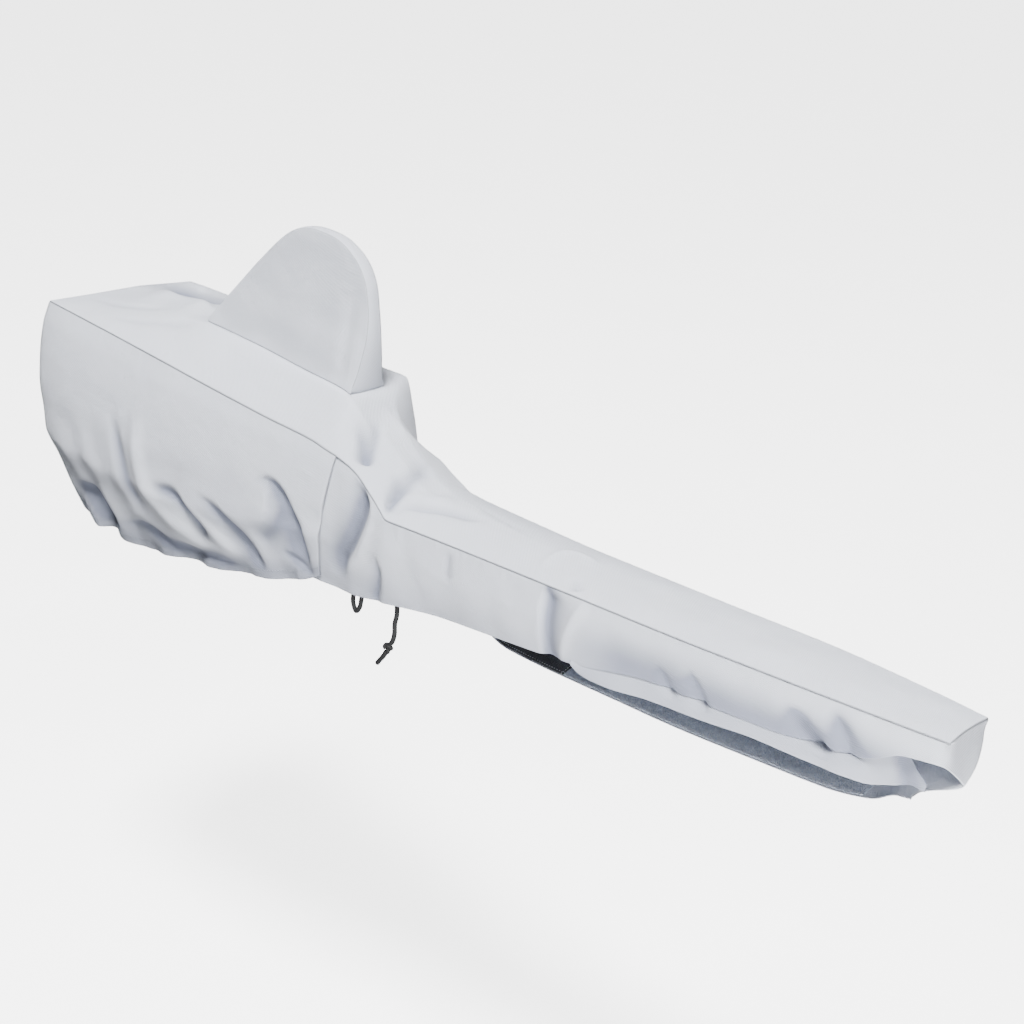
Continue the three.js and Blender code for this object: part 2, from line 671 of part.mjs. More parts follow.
// The drawcord's route: a loop below the neck's hem, a hidden run behind it, and the free end down to the knot.
const cordRoute = [
  [-46.5, -52.1, -88],
  [-49.5, -52.6, -98],
  [-49, -53.1, -108],
  [-44, -53.6, -114.5],
  [-39, -53.1, -108],
  [-37.5, -52.6, -99],
  [-35, -51.6, -90],
  [-26, -50.6, -82],
  [-8, -50.6, -78],
  [6, -51.1, -80],
  [13, -51.6, -88],
  [14, -52.1, -99],
  [12, -52.6, -109],
  [12.5, -53.1, -119],
  [10.5, -53.6, -128],
  [6.5, -54.1, -134],
];
const knotCentre = [4.6, -54.1, -137.6];
const tailRoute = [
  [2.4, -54.3, -142.4],
  [-1.5, -54.7, -149],
  [-7, -55.1, -156],
  [-9.5, -55.1, -159.5],
];

function cordTube(route, steps) {
  const path = new THREE.CatmullRomCurve3(route.map((p) => new THREE.Vector3(...p)));
  const section = new THREE.Shape();
  const sides = 8;
  for (let k = 0; k < sides; k++) {
    const turn = (k / sides) * Math.PI * 2;
    const x = (Math.cos(turn) * cordDiameter) / 2;
    const y = (Math.sin(turn) * cordDiameter) / 2;
    if (k) section.lineTo(x, y);
    else section.moveTo(x, y);
  }
  section.closePath();
  return new THREE.ExtrudeGeometry(section, { steps, extrudePath: path, curveSegments: 1 });
}

// The knot as two crossed turns and a core, joined into one lump.
function knotLump() {
  const lumps = [
    { radii: [3.4, 3, 3.6], at: [0, 0, 0], tilt: 0 },
    { radii: [4.6, 2.2, 2], at: [0.4, -1.2, 0.8], tilt: 0.5 },
    { radii: [4.4, 2.2, 2], at: [-0.4, 1.2, -0.8], tilt: -0.6 },
  ].map(({ radii, at, tilt }) => {
    const ball = new THREE.SphereGeometry(1, 12, 8);
    ball.deleteAttribute("normal");
    ball.deleteAttribute("uv");
    ball.scale(...radii).rotateY(tilt).translate(...at);
    const merged = mergeVertices(ball, 1e-4);
    return new wasm.Manifold(
      new wasm.Mesh({
        numProp: 3,
        vertProperties: merged.attributes.position.array,
        triVerts: new Uint32Array(merged.index.array),
      }),
    );
  });
  const mesh = lumps.reduce((all, lump) => all.add(lump)).translate(knotCentre).getMesh();
  const geometry = new THREE.BufferGeometry();
  geometry.setAttribute("position", new THREE.BufferAttribute(new Float32Array(mesh.vertProperties), 3));
  geometry.setIndex(new THREE.BufferAttribute(new Uint32Array(mesh.triVerts), 1));
  return geometry;
}

const looks = {
  greyCloth: { color: "#d3d5d8", roughness: 0.72, metalness: 0 },
  blackTape: { color: "#34363c", roughness: 0.85, metalness: 0 },
  greyTape: { color: "#a3abbd", roughness: 0.95, metalness: 0 },
  blackCord: { color: "#222326", roughness: 0.8, metalness: 0 },
};

const pieces = [
  { name: "top_panel", look: "greyCloth", make: topPanel },
  { name: "head_wall", look: "greyCloth", make: headWall },
  { name: "sleeve_wall", look: "greyCloth", make: sleeveWall },
  { name: "closure_flap", look: "greyCloth", make: closureFlap },
  { name: "hump_near", look: "greyCloth", make: () => humpFace(-1) },
  { name: "hump_far", look: "greyCloth", make: () => humpFace(1) },
  { name: "hump_gusset", look: "greyCloth", make: humpGusset },
  { name: "hook_tape", look: "blackTape", make: () => edgeTape(112, 207) },
  { name: "loop_tape", look: "greyTape", make: () => edgeTape(207.5, 528) },
  { name: "drawcord", look: "blackCord", make: () => cordTube(cordRoute, 26) },
  { name: "cord_knot", look: "blackCord", make: knotLump },
  { name: "cord_tail", look: "blackCord", make: () => cordTube(tailRoute, 3) },
];

const group = new THREE.Group();
const mountZ = from(topTable, "strip", mountX) - cloth;
for (const { name, look, make } of pieces) {
  const geometry = make();
  geometry.translate(-mountX, 0, -mountZ);
  geometry.computeVertexNormals();
  const mesh = new THREE.Mesh(geometry, new THREE.MeshStandardMaterial(looks[look]));
  mesh.name = name;
  group.add(mesh);
}

export default group;
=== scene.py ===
import json
import math
import bpy
import numpy as np
from mathutils import Matrix

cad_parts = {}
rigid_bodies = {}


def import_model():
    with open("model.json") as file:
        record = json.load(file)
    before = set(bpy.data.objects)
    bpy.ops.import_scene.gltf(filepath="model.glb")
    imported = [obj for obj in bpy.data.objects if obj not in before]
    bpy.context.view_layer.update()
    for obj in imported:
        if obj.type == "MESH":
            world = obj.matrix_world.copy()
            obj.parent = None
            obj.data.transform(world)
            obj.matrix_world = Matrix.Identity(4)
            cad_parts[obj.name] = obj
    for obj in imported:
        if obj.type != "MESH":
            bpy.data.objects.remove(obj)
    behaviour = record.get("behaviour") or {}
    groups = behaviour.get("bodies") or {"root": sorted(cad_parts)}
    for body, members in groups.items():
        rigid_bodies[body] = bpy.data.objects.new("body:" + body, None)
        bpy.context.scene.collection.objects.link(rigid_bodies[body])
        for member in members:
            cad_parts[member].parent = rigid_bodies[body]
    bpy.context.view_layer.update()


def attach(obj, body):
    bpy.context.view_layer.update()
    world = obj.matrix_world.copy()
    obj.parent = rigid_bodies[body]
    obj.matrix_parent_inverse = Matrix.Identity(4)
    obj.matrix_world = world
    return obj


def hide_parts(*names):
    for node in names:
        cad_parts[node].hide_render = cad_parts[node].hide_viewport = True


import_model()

# Sizes are in millimetres from the neck's front corner at seam height, as in the part's own source. Points
# are turned to metres and shifted to the mount when a mesh is made.
mount = {"x": -420.0, "z": 111.039}

# What the pieces share: where the seams between them run, and the cloth itself.
cover = {
    "rear": -526,  # the head's rear edge
    "headFront": -70,  # the seam between head wall and sleeve wall
    "tip": 600,  # the far end of the sleeve
    "humpRear": -325,
    "humpFront": -91,
    "seamDrop": 1.5,  # a wall's top edge hangs this far under the top panel's edge
    "thickness": 1.2,
    "spacing": 3.0,  # between the points of a sheet
}


def columns(names, *rows):
    return {name: np.array([row[k] for row in rows], float) for k, name in enumerate(names.split())}


# A smooth value from a table, with no overshoot between its rows.
def read(table, column, at, key="x"):
    places = table[key]
    values = table[column]
    step = np.diff(places)
    rise = np.diff(values) / step
    before = rise[:-1]
    after = rise[1:]
    same = before * after > 0
    inner = np.where(same, 2 * before * after / np.where(same, before + after, 1), 0)
    slope = np.concatenate(([rise[0]], inner, [rise[-1]]))
    at = np.clip(np.asarray(at, float), places[0], places[-1])
    i = np.clip(np.searchsorted(places, at, side="right") - 1, 0, len(step) - 1)
    t = (at - places[i]) / step[i]
    return (
        values[i] * (2 * t**3 - 3 * t**2 + 1)
        + slope[i] * step[i] * (t**3 - 2 * t**2 + t)
        + values[i + 1] * (3 * t**2 - 2 * t**3)
        + slope[i + 1] * step[i] * (t**3 - t**2)
    )


def ease(x, low, high):
    t = np.clip((x - low) / (high - low), 0, 1)
    return t * t * (3 - 2 * t)


# A smooth line through points, as evenly spaced points.
def throughPoints(points, count):
    points = np.asarray(points, float)
    ends = np.concatenate(([2 * points[0] - points[1]], points, [2 * points[-1] - points[-2]]))
    gaps = np.maximum(np.linalg.norm(np.diff(ends, axis=0), axis=1) ** 0.5, 1e-6)
    dense = []
    for k in range(1, len(ends) - 2):
        p0, p1, p2, p3 = ends[k - 1 : k + 3]
        g0, g1, g2 = gaps[k - 1 : k + 2]
        m1 = (p1 - p0) / g0 - (p2 - p0) / (g0 + g1) + (p2 - p1) / g1
        m2 = (p2 - p1) / g1 - (p3 - p1) / (g1 + g2) + (p3 - p2) / g2
        for t in np.linspace(0, 1, 24, endpoint=False):
            dense.append(
                p1 * (2 * t**3 - 3 * t**2 + 1)
                + m1 * g1 * (t**3 - 2 * t**2 + t)
                + p2 * (3 * t**2 - 2 * t**3)
                + m2 * g1 * (t**3 - t**2)
            )
    dense = np.array(dense + [ends[-2]])
    run = alongOf(dense)
    at = np.linspace(0, run[-1], count)
    return np.stack([np.interp(at, run, dense[:, k]) for k in range(dense.shape[1])], axis=1)


def alongOf(line):
    return np.concatenate(([0], np.cumsum(np.linalg.norm(np.diff(line, axis=0), axis=1))))


# Folds are pressed into the cloth. Each has a depth (a ridge is positive), the width of the side to the left
# of its path and of the side to its right, a power (1 is a sharp crease, 2 a soft round), and the path.
def foldHeight(folds, a, b):
    a, b = np.broadcast_arrays(a, b)
    total = np.zeros(a.shape)
    for depth, left, right, power, path in folds:
        line = throughPoints(path, 19)
        nearest = np.full(a.shape, 1e9)
        side = np.zeros(a.shape)
        at = np.zeros(a.shape)
        for k, ((x0, z0), (x1, z1)) in enumerate(zip(line[:-1], line[1:])):
            dx = x1 - x0
            dz = z1 - z0
            t = np.clip(((a - x0) * dx + (b - z0) * dz) / (dx * dx + dz * dz), 0, 1)
            offX = a - x0 - t * dx
            offZ = b - z0 - t * dz
            away = np.hypot(offX, offZ)
            nearer = away < nearest
            nearest = np.where(nearer, away, nearest)
            side = np.where(nearer, dx * offZ - dz * offX, side)
            at = np.where(nearer, (k + t) / 18, at)
        fades = ease(at, 0, 0.35) * (1 - ease(at, 0.75, 1))
        wide = np.where(side > 0, left, right) * (0.6 + 0.5 * at)
        total = total + depth * fades * np.exp(-((nearest / wide) ** power))
    return total


# Slow swells in the cloth: a few sine waves of about one size, in directions and phases set by the seed.
def swells(a, b, size, height, seed):
    chance = np.random.default_rng(seed)
    total = 0
    turns = chance.uniform(0, math.pi, 5)
    phases = chance.uniform(0, 6.28, 5)
    scales = chance.uniform(0.7, 1.5, 5)
    for turn, phase, scale in zip(turns, phases, scales):
        across = a * math.cos(turn) + b * math.sin(turn)
        total = total + np.sin(across * 2 * math.pi / (size * scale) + phase)
    return total * height / 2.2


# Small uneven puckers that a seam's thread draws into the cloth, fading away from it.
def puckers(along, away, height, size, seed, reach=8.0):
    chance = np.random.default_rng(seed)
    total = 0
    for phase, scale in zip(chance.uniform(0, 6.28, 4), (0.7, 1.0, 1.37, 1.9)):
        total = total + np.sin(along * 2 * math.pi / (size * scale) + phase)
    return total * height / 2 * np.exp(-away / reach)


# How far a seam's edge turns in: a quarter round of this radius, measured by the distance from the edge.
def turnedIn(away, radius=1.1):
    inside = np.clip(radius - away, 0, radius)
    return radius - np.sqrt(np.maximum(radius**2 - inside**2, 0))


edgeSteps = np.array([0, 0.15, 0.35, 0.65, 1.1, 1.9])


# Places from start to end, close together at both ends where the cloth turns in.
def places(start, end, spacing=cover["spacing"]):
    length = abs(end - start)
    sign = 1 if end > start else -1
    count = max(2, int(round((length - 3.8) / spacing)))
    middle = np.linspace(1.9, length - 1.9, count + 1)[1:-1]
    return start + sign * np.concatenate((edgeSteps, middle, length - edgeSteps[::-1]))


def unit(vectors):
    return vectors / np.linalg.norm(vectors, axis=-1, keepdims=True)


# The distance run along each row of a grid of points.
def rowRuns(grid):
    steps = np.linalg.norm(np.diff(grid, axis=1), axis=2)
    return np.concatenate((np.zeros((len(grid), 1)), np.cumsum(steps, axis=1)), axis=1)


# A line moved down along its own sheet, square to its run.
def underEdge(line, drop=cover["seamDrop"]):
    run = np.gradient(line, axis=0)
    level = np.hypot(run[:, 0], run[:, 1])
    length = np.linalg.norm(run, axis=1)
    down = np.stack((run[:, 0] * run[:, 2] / level, run[:, 1] * run[:, 2] / level, -level), axis=1)
    return line + down * (drop / length)[:, None]


# A matrix from three directions and a place.
def placed(right, up, back, place):
    return Matrix([[right[k], up[k], back[k], place[k]] for k in range(3)] + [[0, 0, 0, 1]])


def toFrame(points):
    return (np.asarray(points, float) - (mount["x"], 0, mount["z"])) * 0.001


# The camera stands where the photograph was taken from. Angles are in degrees, its place in metres.
cameraSizes = {
    "azimuth": 42.6,
    "elevation": 21.9,
    "roll": 3.0,
    "place": (1.536668, -1.091836, 0.513645),
    "lens": 59.77,
    "sensor": 36,
}


def placeCamera():
    azimuth, elevation, roll = (math.radians(cameraSizes[name]) for name in ("azimuth", "elevation", "roll"))
    away = math.cos(elevation)
    back = np.array((math.sin(azimuth) * away, -math.cos(azimuth) * away, math.sin(elevation)))
    level = np.array((math.cos(azimuth), math.sin(azimuth), 0))
    tall = np.cross(back, level)
    right = level * math.cos(roll) + tall * math.sin(roll)
    up = np.cross(back, right)
    data = bpy.data.cameras.new("camera")
    data.lens = cameraSizes["lens"]
    data.sensor_width = cameraSizes["sensor"]
    data.clip_start = 0.02
    data.clip_end = 200
    camera = bpy.data.objects.new("camera", data)
    bpy.context.collection.objects.link(camera)
    camera.matrix_world = placed(right, up, back, cameraSizes["place"])
    bpy.context.scene.camera = camera


placeCamera()
print("camera placed")


# A colour in sRGB hex, as the linear values that a shader takes.
def linear(hexColour):
    parts = [int(hexColour[k : k + 2], 16) / 255 for k in (1, 3, 5)]
    return [c / 12.92 if c <= 0.04045 else ((c + 0.055) / 1.055) ** 2.4 for c in parts] + [1.0]


def addNode(tree, kind, inputs=None, **settings):
    node = tree.nodes.new(kind)
    for name, value in settings.items():
        setattr(node, name, value)
    for name, value in (inputs or {}).items():
        socket = node.inputs[name]
        if isinstance(value, bpy.types.NodeSocket):
            tree.links.new(value, socket)
        else:
            socket.default_value = value
    return node


def newMaterial(name):
    material = bpy.data.materials.new(name)
    material.use_nodes = True
    tree = material.node_tree
    tree.nodes.clear()
    return material, tree


def finishMaterial(tree, inputs):
    shader = addNode(tree, "ShaderNodeBsdfPrincipled", inputs)
    addNode(tree, "ShaderNodeOutputMaterial", {"Surface": shader.outputs[0]})


def noise(tree, place, scale, detail=2.0, more=None):
    inputs = {"Vector": place, "Scale": scale, "Detail": detail} | (more or {})
    return addNode(tree, "ShaderNodeTexNoise", inputs).outputs["Fac"]


def blend(tree, factor, first, second):
    return addNode(tree, "ShaderNodeMix", {0: factor, 6: first, 7: second}, data_type="RGBA").outputs[2]


def product(tree, first, second):
    return addNode(tree, "ShaderNodeMath", {0: first, 1: second}, operation="MULTIPLY").outputs[0]


def scaled(tree, vector, scale):
    return addNode(tree, "ShaderNodeVectorMath", {0: vector, "Scale": scale}, operation="SCALE").outputs[0]


# A value moved from one range to another.
def ranged(tree, value, old=(0.0, 1.0), new=(0.0, 1.0)):
    inputs = {"Value": value, "From Min": old[0], "From Max": old[1], "To Min": new[0], "To Max": new[1]}
    return addNode(tree, "ShaderNodeMapRange", inputs).outputs[0]


def bump(tree, height, strength, distance, over=None):
    inputs = {"Height": height, "Strength": strength, "Distance": distance}
    if over is not None:
        inputs["Normal"] = over
    return addNode(tree, "ShaderNodeBump", inputs).outputs[0]


# Solution-dyed polyester with a soft coating: matt, with a fine weave, and with painted shade in its folds,
# on faces turned from the light and along its undersides.
clothLook = {
    "weave": 0.0019,  # the real weave is about 0.5 mm, too fine to show in the render
    "slubs": 420.0,  # thicker threads, about 2.4 mm apart
    "crumple": 34.0,  # slight crumples, about 30 mm apart
    "tone": 9.0,  # slow changes of tone, about 110 mm across
    "threadShade": 0.9,  # between the threads of the weave
    # painted shade in the groove of each seam
    "seamShade": 0.42,
    "paintedShadeColour": (0.34, 0.355, 0.42, 1),  # painted shade: a cool dark tint in folds, on faces turned from the light and along the underside
}


# The seam attribute marks the sewn edges, which get a line of painted shade in their groove; the second
# attribute marks where painted shade falls: in folds, on faces turned from the light and along undersides.
def clothFinish(name, colour, shade):
    material, tree = newMaterial(name)
    uv = addNode(tree, "ShaderNodeUVMap", uv_map="cloth").outputs[0]
    place = addNode(tree, "ShaderNodeTexCoord").outputs["Object"]
    seam = addNode(tree, "ShaderNodeAttribute", attribute_name="seam").outputs["Fac"]
    paintedShade = addNode(tree, "ShaderNodeAttribute", attribute_name="paintedShade").outputs["Fac"]
    parts = addNode(tree, "ShaderNodeSeparateXYZ", {0: scaled(tree, uv, 2 * math.pi / clothLook["weave"])})
    waves = [addNode(tree, "ShaderNodeMath", {0: parts.outputs[k]}, operation="SINE") for k in (0, 1)]
    weave = product(tree, waves[0].outputs[0], waves[1].outputs[0])
    threads = ranged(tree, weave, (-1.0, 1.0), (clothLook["threadShade"], 1.0))
    seamGrooveShade = ranged(tree, seam, new=(1.0, clothLook["seamShade"]))
    base = blend(tree, noise(tree, place, clothLook["tone"]), linear(shade), linear(colour))
    # Painted shade: a cool dark tint, strongest where the attribute is 1.
    paintedShadeTint = blend(tree, paintedShade, (1, 1, 1, 1), clothLook["paintedShadeColour"])
    shaded = addNode(tree, "ShaderNodeVectorMath", {0: base, 1: paintedShadeTint}, operation="MULTIPLY").outputs[0]
    slubs = noise(tree, place, clothLook["slubs"])
    crumple = noise(tree, place, clothLook["crumple"], 3.0, {"Roughness": 0.45, "Distortion": 0.4})
    relief = bump(tree, weave, 0.6, 0.0003)
    relief = bump(tree, slubs, 0.3, 0.0004, relief)
    relief = bump(tree, crumple, 0.6, 0.0022, relief)
    finishMaterial(
        tree,
        {
            "Base Color": scaled(tree, shaded, product(tree, threads, seamGrooveShade)),
            "Roughness": 0.62,
            "Specular IOR Level": 0.35,
            "Sheen Weight": 0.12,
            "Sheen Roughness": 0.5,
            "Subsurface Weight": 0.12,
            "Subsurface Radius": (1.0, 1.0, 1.0),
            "Subsurface Scale": 0.003,
            "Normal": relief,
        },
    )
    return material


# Woven nylon tape: a plain colour with flecks of its pile and its own cross ribs, about 1.2 mm apart.
def tapeFinish(name, colour, shade, roughness, fuzz):
    material, tree = newMaterial(name)
    uv = addNode(tree, "ShaderNodeUVMap", uv_map="cloth").outputs[0]
    ribs = addNode(
        tree,
        "ShaderNodeTexWave",
        {"Vector": uv, "Scale": 260.0, "Distortion": 1.2, "Detail": 1.0},
        wave_type="BANDS",
        bands_direction="X",
    )
    flecks = noise(tree, uv, fuzz, 3.0)
    finishMaterial(
        tree,
        {
            "Base Color": blend(tree, flecks, linear(shade), linear(colour)),
            "Roughness": roughness,
            "Sheen Weight": 0.25,
            "Normal": bump(tree, product(tree, ribs.outputs["Fac"], flecks), 0.7, 0.0006),
        },
    )
    return material


# Cord, thread and pile: one colour and its shade between the fibres, in a grain of about a millimetre.
def plainFinish(name, colour, roughness, grainScale=900.0, grainDepth=0.0002, shade=0.8):
    material, tree = newMaterial(name)
    place = addNode(tree, "ShaderNodeTexCoord").outputs["Object"]
    grain = noise(tree, place, grainScale)
    full = linear(colour)
    shaded = [c * shade for c in full[:3]] + [1.0]
    finishMaterial(
        tree,
        {
            "Base Color": blend(tree, grain, shaded, full),
            "Roughness": roughness,
            "Normal": bump(tree, grain, 0.5, grainDepth),
        },
    )
    return material


greyCloth = clothFinish("coated polyester, light grey", "#cdd1da", "#c4c8d3")
blackTape = tapeFinish("hook tape, black", "#3a3c42", "#23252a", 0.6, 900.0)
greyTape = tapeFinish("loop tape, blue grey", "#b9c2d4", "#9aa4b8", 0.95, 1500.0)
blackCord = plainFinish("braided cord, black", "#0c0d0f", 0.85)
greyThread = plainFinish("sewing thread, grey", "#80858f", 0.6)
paleThread = plainFinish("sewing thread, pale", "#c9ccd2", 0.6)
pile = plainFinish("loop pile, blue grey", "#dfe6f3", 0.95, 260.0, 0.0002, 0.35)
hooks = plainFinish("moulded hooks, black", "#34363b", 0.5)
paleFloor = plainFinish("studio floor, pale", "#ffffff", 0.9, 3.0, 0.0001)


def linkMesh(name, points, faces, material):
    mesh = bpy.data.meshes.new(name)
    mesh.from_pydata([tuple(p) for p in points], [], faces)
    mesh.materials.append(material)
    mesh.polygons.foreach_set("use_smooth", [True] * len(mesh.polygons))
    piece = bpy.data.objects.new(name, mesh)
    bpy.context.collection.objects.link(piece)
    return piece


# The grid of each sheet, kept for the stitches that are laid on it.
laidGrids = {}


# A sheet from a grid of points on the cloth's outer face. Outward is the first direction crossed with the
# second.
def clothPiece(name, grid, material, skip=None, seam=None, thick=cover["thickness"], paintedShade=None):
    rows, cols = grid.shape[:2]
    points = toFrame(grid.reshape(-1, 3))
    i, j = np.meshgrid(np.arange(rows - 1), np.arange(cols - 1), indexing="ij")
    corner = i * cols + j
    faces = np.stack((corner, corner + cols, corner + cols + 1, corner + 1), axis=-1)
    if skip is not None:
        faces = faces[~skip[: faces.shape[0], : faces.shape[1]]]
    faces = faces.reshape(-1, 4)
    used = np.unique(faces)
    order = np.full(rows * cols, -1)
    order[used] = np.arange(len(used))
    piece = linkMesh(name, points[used], order[faces].tolist(), material)
    along = alongOf(grid[:, cols // 2])[:, None]
    uv = np.stack(np.broadcast_arrays(along, rowRuns(grid)), axis=-1).reshape(-1, 2)[used] * 0.001
    layer = piece.data.uv_layers.new(name="cloth")
    loops = np.empty(len(piece.data.loops), int)
    piece.data.loops.foreach_get("vertex_index", loops)
    layer.data.foreach_set("uv", uv[loops].ravel())
    for label, marks in (("seam", seam), ("paintedShade", paintedShade)):
        values = np.zeros(rows * cols) if marks is None else np.clip(marks, 0, 1).reshape(-1)
        mark = piece.data.attributes.new(label, "FLOAT", "POINT")
        mark.data.foreach_set("value", values[used])
    laidGrids[name] = grid
    solid = piece.modifiers.new("thickness", "SOLIDIFY")
    solid.thickness = thick * 0.001
    solid.offset = -1
    solid.use_even_offset = False
    return piece


# The drawcord, with its knot and its tail.
drawcord = {
    "diameter": 5,
    "route": [
        (-46.5, -52.1, -88),
        (-49.5, -52.6, -98),
        (-49, -53.1, -108),
        (-44, -53.6, -114.5),
        (-39, -53.1, -108),
        (-37.5, -52.6, -99),
        (-35, -51.6, -90),
        (-26, -50.6, -82),
        (-8, -50.6, -78),
        (6, -51.1, -80),
        (13, -51.6, -88),
        (14, -52.1, -99),
        (12, -52.6, -109),
        (12.5, -53.1, -119),
        (10.5, -53.6, -128),
        (6.5, -54.1, -134),
    ],
    "tailRoute": [(2.4, -54.3, -142.4), (-1.5, -54.7, -149), (-7, -55.1, -156), (-9.5, -55.1, -159.5)],
    "knotCentre": np.array((4.6, -54.1, -137.6)),
    "knotSize": 1.6,
    "knotRadius": 2.1,
    "braid": 0.07,  # relief, as a share of the radius
    "sides": 14,
}


# A braided tube along a route, its section turned as little as possible from ring to ring.
def tube(name, route, radius, material):
    sides = drawcord["sides"]
    braid = drawcord["braid"]
    tangent = unit(np.gradient(route, axis=0))
    side = np.cross(tangent[0], (0, 1, 0.2))
    side /= np.linalg.norm(side)
    points = []
    run = alongOf(route)
    for k, centre in enumerate(route):
        side = side - tangent[k] * side.dot(tangent[k])
        side /= np.linalg.norm(side)
        other = np.cross(tangent[k], side)
        turn = np.arange(sides) * 2 * math.pi / sides
        lift = braid * np.sin(turn * 4 + run[k] * 2.6) * np.sin(turn * 4 - run[k] * 2.6)
        size = radius * (1 - braid / 2 + lift)[:, None]
        points.append(centre + size * (np.cos(turn)[:, None] * side + np.sin(turn)[:, None] * other))
    rings = len(route)
    points = np.concatenate(points)
    faces = [
        (a * sides + k, a * sides + (k + 1) % sides, (a + 1) * sides + (k + 1) % sides, (a + 1) * sides + k)
        for a in range(rings - 1)
        for k in range(sides)
    ]
    for end in (0, rings - 1):
        outward = -tangent[0] if end == 0 else tangent[-1]
        points = np.concatenate((points, [route[end] + outward * radius * 0.35]))
        tip = len(points) - 1
        ring = [end * sides + k for k in range(sides)]
        pairs = zip(ring, ring[1:] + ring[:1])
        faces += [(b, a, tip) if end == 0 else (a, b, tip) for a, b in pairs]
    return linkMesh(name, toFrame(points), faces, material)


def makeCord():
    radius = drawcord["diameter"] / 2
    route = throughPoints(drawcord["route"], 220)
    cord = tube("drawcord_braid", route, radius, blackCord)
    turn = np.linspace(0.35, 2 * math.pi - 0.35, 70)  # a trefoil, open where the cord comes in and goes out
    size = drawcord["knotSize"]
    loops = np.stack(
        (
            size * (np.sin(turn) + 1.7 * np.sin(2 * turn)),
            size * 0.8 * np.sin(3 * turn),
            size * (np.cos(turn) - 1.7 * np.cos(2 * turn)),
        ),
        axis=1,
    )
    knot = tube("cord_knot_loops", drawcord["knotCentre"] + loops, drawcord["knotRadius"], blackCord)
    tail = tube("cord_tail_end", throughPoints(drawcord["tailRoute"], 26), radius, blackCord)
    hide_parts("drawcord")
    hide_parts("cord_knot")
    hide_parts("cord_tail")
    for piece in (cord, knot, tail):
        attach(piece, "root")


makeCord()


# Top panel: the place and height of its seams and of its flat middle strip, at stations along it.
topPanel = {
    "stripHalf": 26,  # half the flat strip that carries the hump
    "holeHalf": 20,
    "holeInset": 7,
    "ridgeRound": 0.05,
    "darkAt": 10,  # a fold this deep is fully dark
    "swell": {"size": 70, "height": 0.7, "seed": 3},
    "nearPucker": {"height": 0.35, "size": 11, "seed": 5},
    "farPucker": {"height": 0.35, "size": 11, "seed": 6},
    "table": columns(
        "x near far nearZ farZ strip nearBend farBend",
        (-526, 90, 104, 108, 101, 107, 1.2, 1),
        (-432, 87, 98, 98, 102, 112, 1.2, 1.3),
        (-344, 84, 90, 88, 93, 118, 1.1, 1.5),
        (-252, 79, 82, 76, 86, 113, 1.05, 2),
        (-165, 72, 70, 64, 89, 104, 1.05, 4),
        (-104, 64, 64, 55, 95, 98, 1.05, 5),
        (-85, 62, 59, 50, 60, 91, 1.05, 2.4),
        (-69, 60, 55, 46, 21, 73, 1.05, 1.1),
        (-42, 57, 53, 34, 25, 55, 1, 1.2),
        (-20, 57, 55, 17, 13, 37, 1, 1.2),
        (-5, 57.7, 56.5, 4.6, 4.6, 27, 1, 1.2),
        (0, 58, 57, 0.6, 1.5, 24, 1, 1.2),
        (7, 57.6, 56.5, 0, 0.3, 21.6, 1, 1.2),
        (30, 56, 54, 0, 0, 16, 1.1, 1.2),
        (90, 53, 50, 0, 0, 10, 1.3, 1.3),
        (200, 49, 45, 0, 0, 7, 1.5, 1.5),
        (340, 45, 45, 0, 0, 6, 1.5, 1.5),
        (430, 40, 46, 0, 0, 6, 1.5, 1.5),
        (550, 32, 38, 0, 0, 4, 1.5, 1.5),
        (600, 28, 30, 0, 1, 3, 1.5, 1.5),
    ),
    "folds": (
        (-6, 7, 7, 1.8, ((-76, -26), (-59, -34), (-43, -47))),
        (-6.5, 5, 9, 1.5, ((-68, -2), (-55, -24), (-42, -47))),
        (-6, 4, 7, 1.5, ((-2, -58), (-8, -45), (-18, -20))),
        (-6, 5, 8, 1.5, ((-3, -57), (-8, -40), (-10, -20), (-17, 20))),
        (-5, 7, 6, 1.5, ((3, -57), (6, -38), (22, -28), (44, -17), (86, -6))),
        (3, 8, 8, 1.8, ((-4, -48), (5, -27), (22, -17), (34, 10))),
        (1.4, 16, 12, 1.4, ((10, -14), (56, 1), (98, 1), (165, 0), (260, 4))),
        (-1.2, 6, 6, 1.8, ((40, 20), (80, 12), (130, 10))),
        (2.2, 5, 5, 1.4, ((199, -48), (180, -28), (177, -12), (182, 5), (224, 8))),
        (-2.6, 5, 6, 1.6, ((218, -26), (236, -43))),
        (2, 9, 10, 1.3, ((-84, 0), (-72, 10), (-60, 12), (-34, 24))),
        (9, 9, 24, 1.3, ((-492, 19), (-470, 17), (-440, 14), (-401, 11), (-350, 6), (-338, 4))),
        (-2.2, 6, 8, 1.6, ((-514, -44), (-456, -38), (-396, -20))),
        (-2, 5, 8, 1.6, ((-450, -70), (-388, -52), (-320, -32))),
        (-9, 17, 14, 2, ((-522, 66), (-465, 52), (-405, 38), (-366, 30))),
        (6, 14, 14, 2, ((-520, 96), (-490, 90), (-455, 82))),
    ),
}


def topAt(column, x):
    return read(topPanel["table"], column, x)


def stripAt(x):
    wide = np.minimum(topPanel["stripHalf"], 0.42 * topAt("near", x))
    return wide * (1 - 0.6 * ease(x, cover["humpFront"], cover["headFront"] + 30))


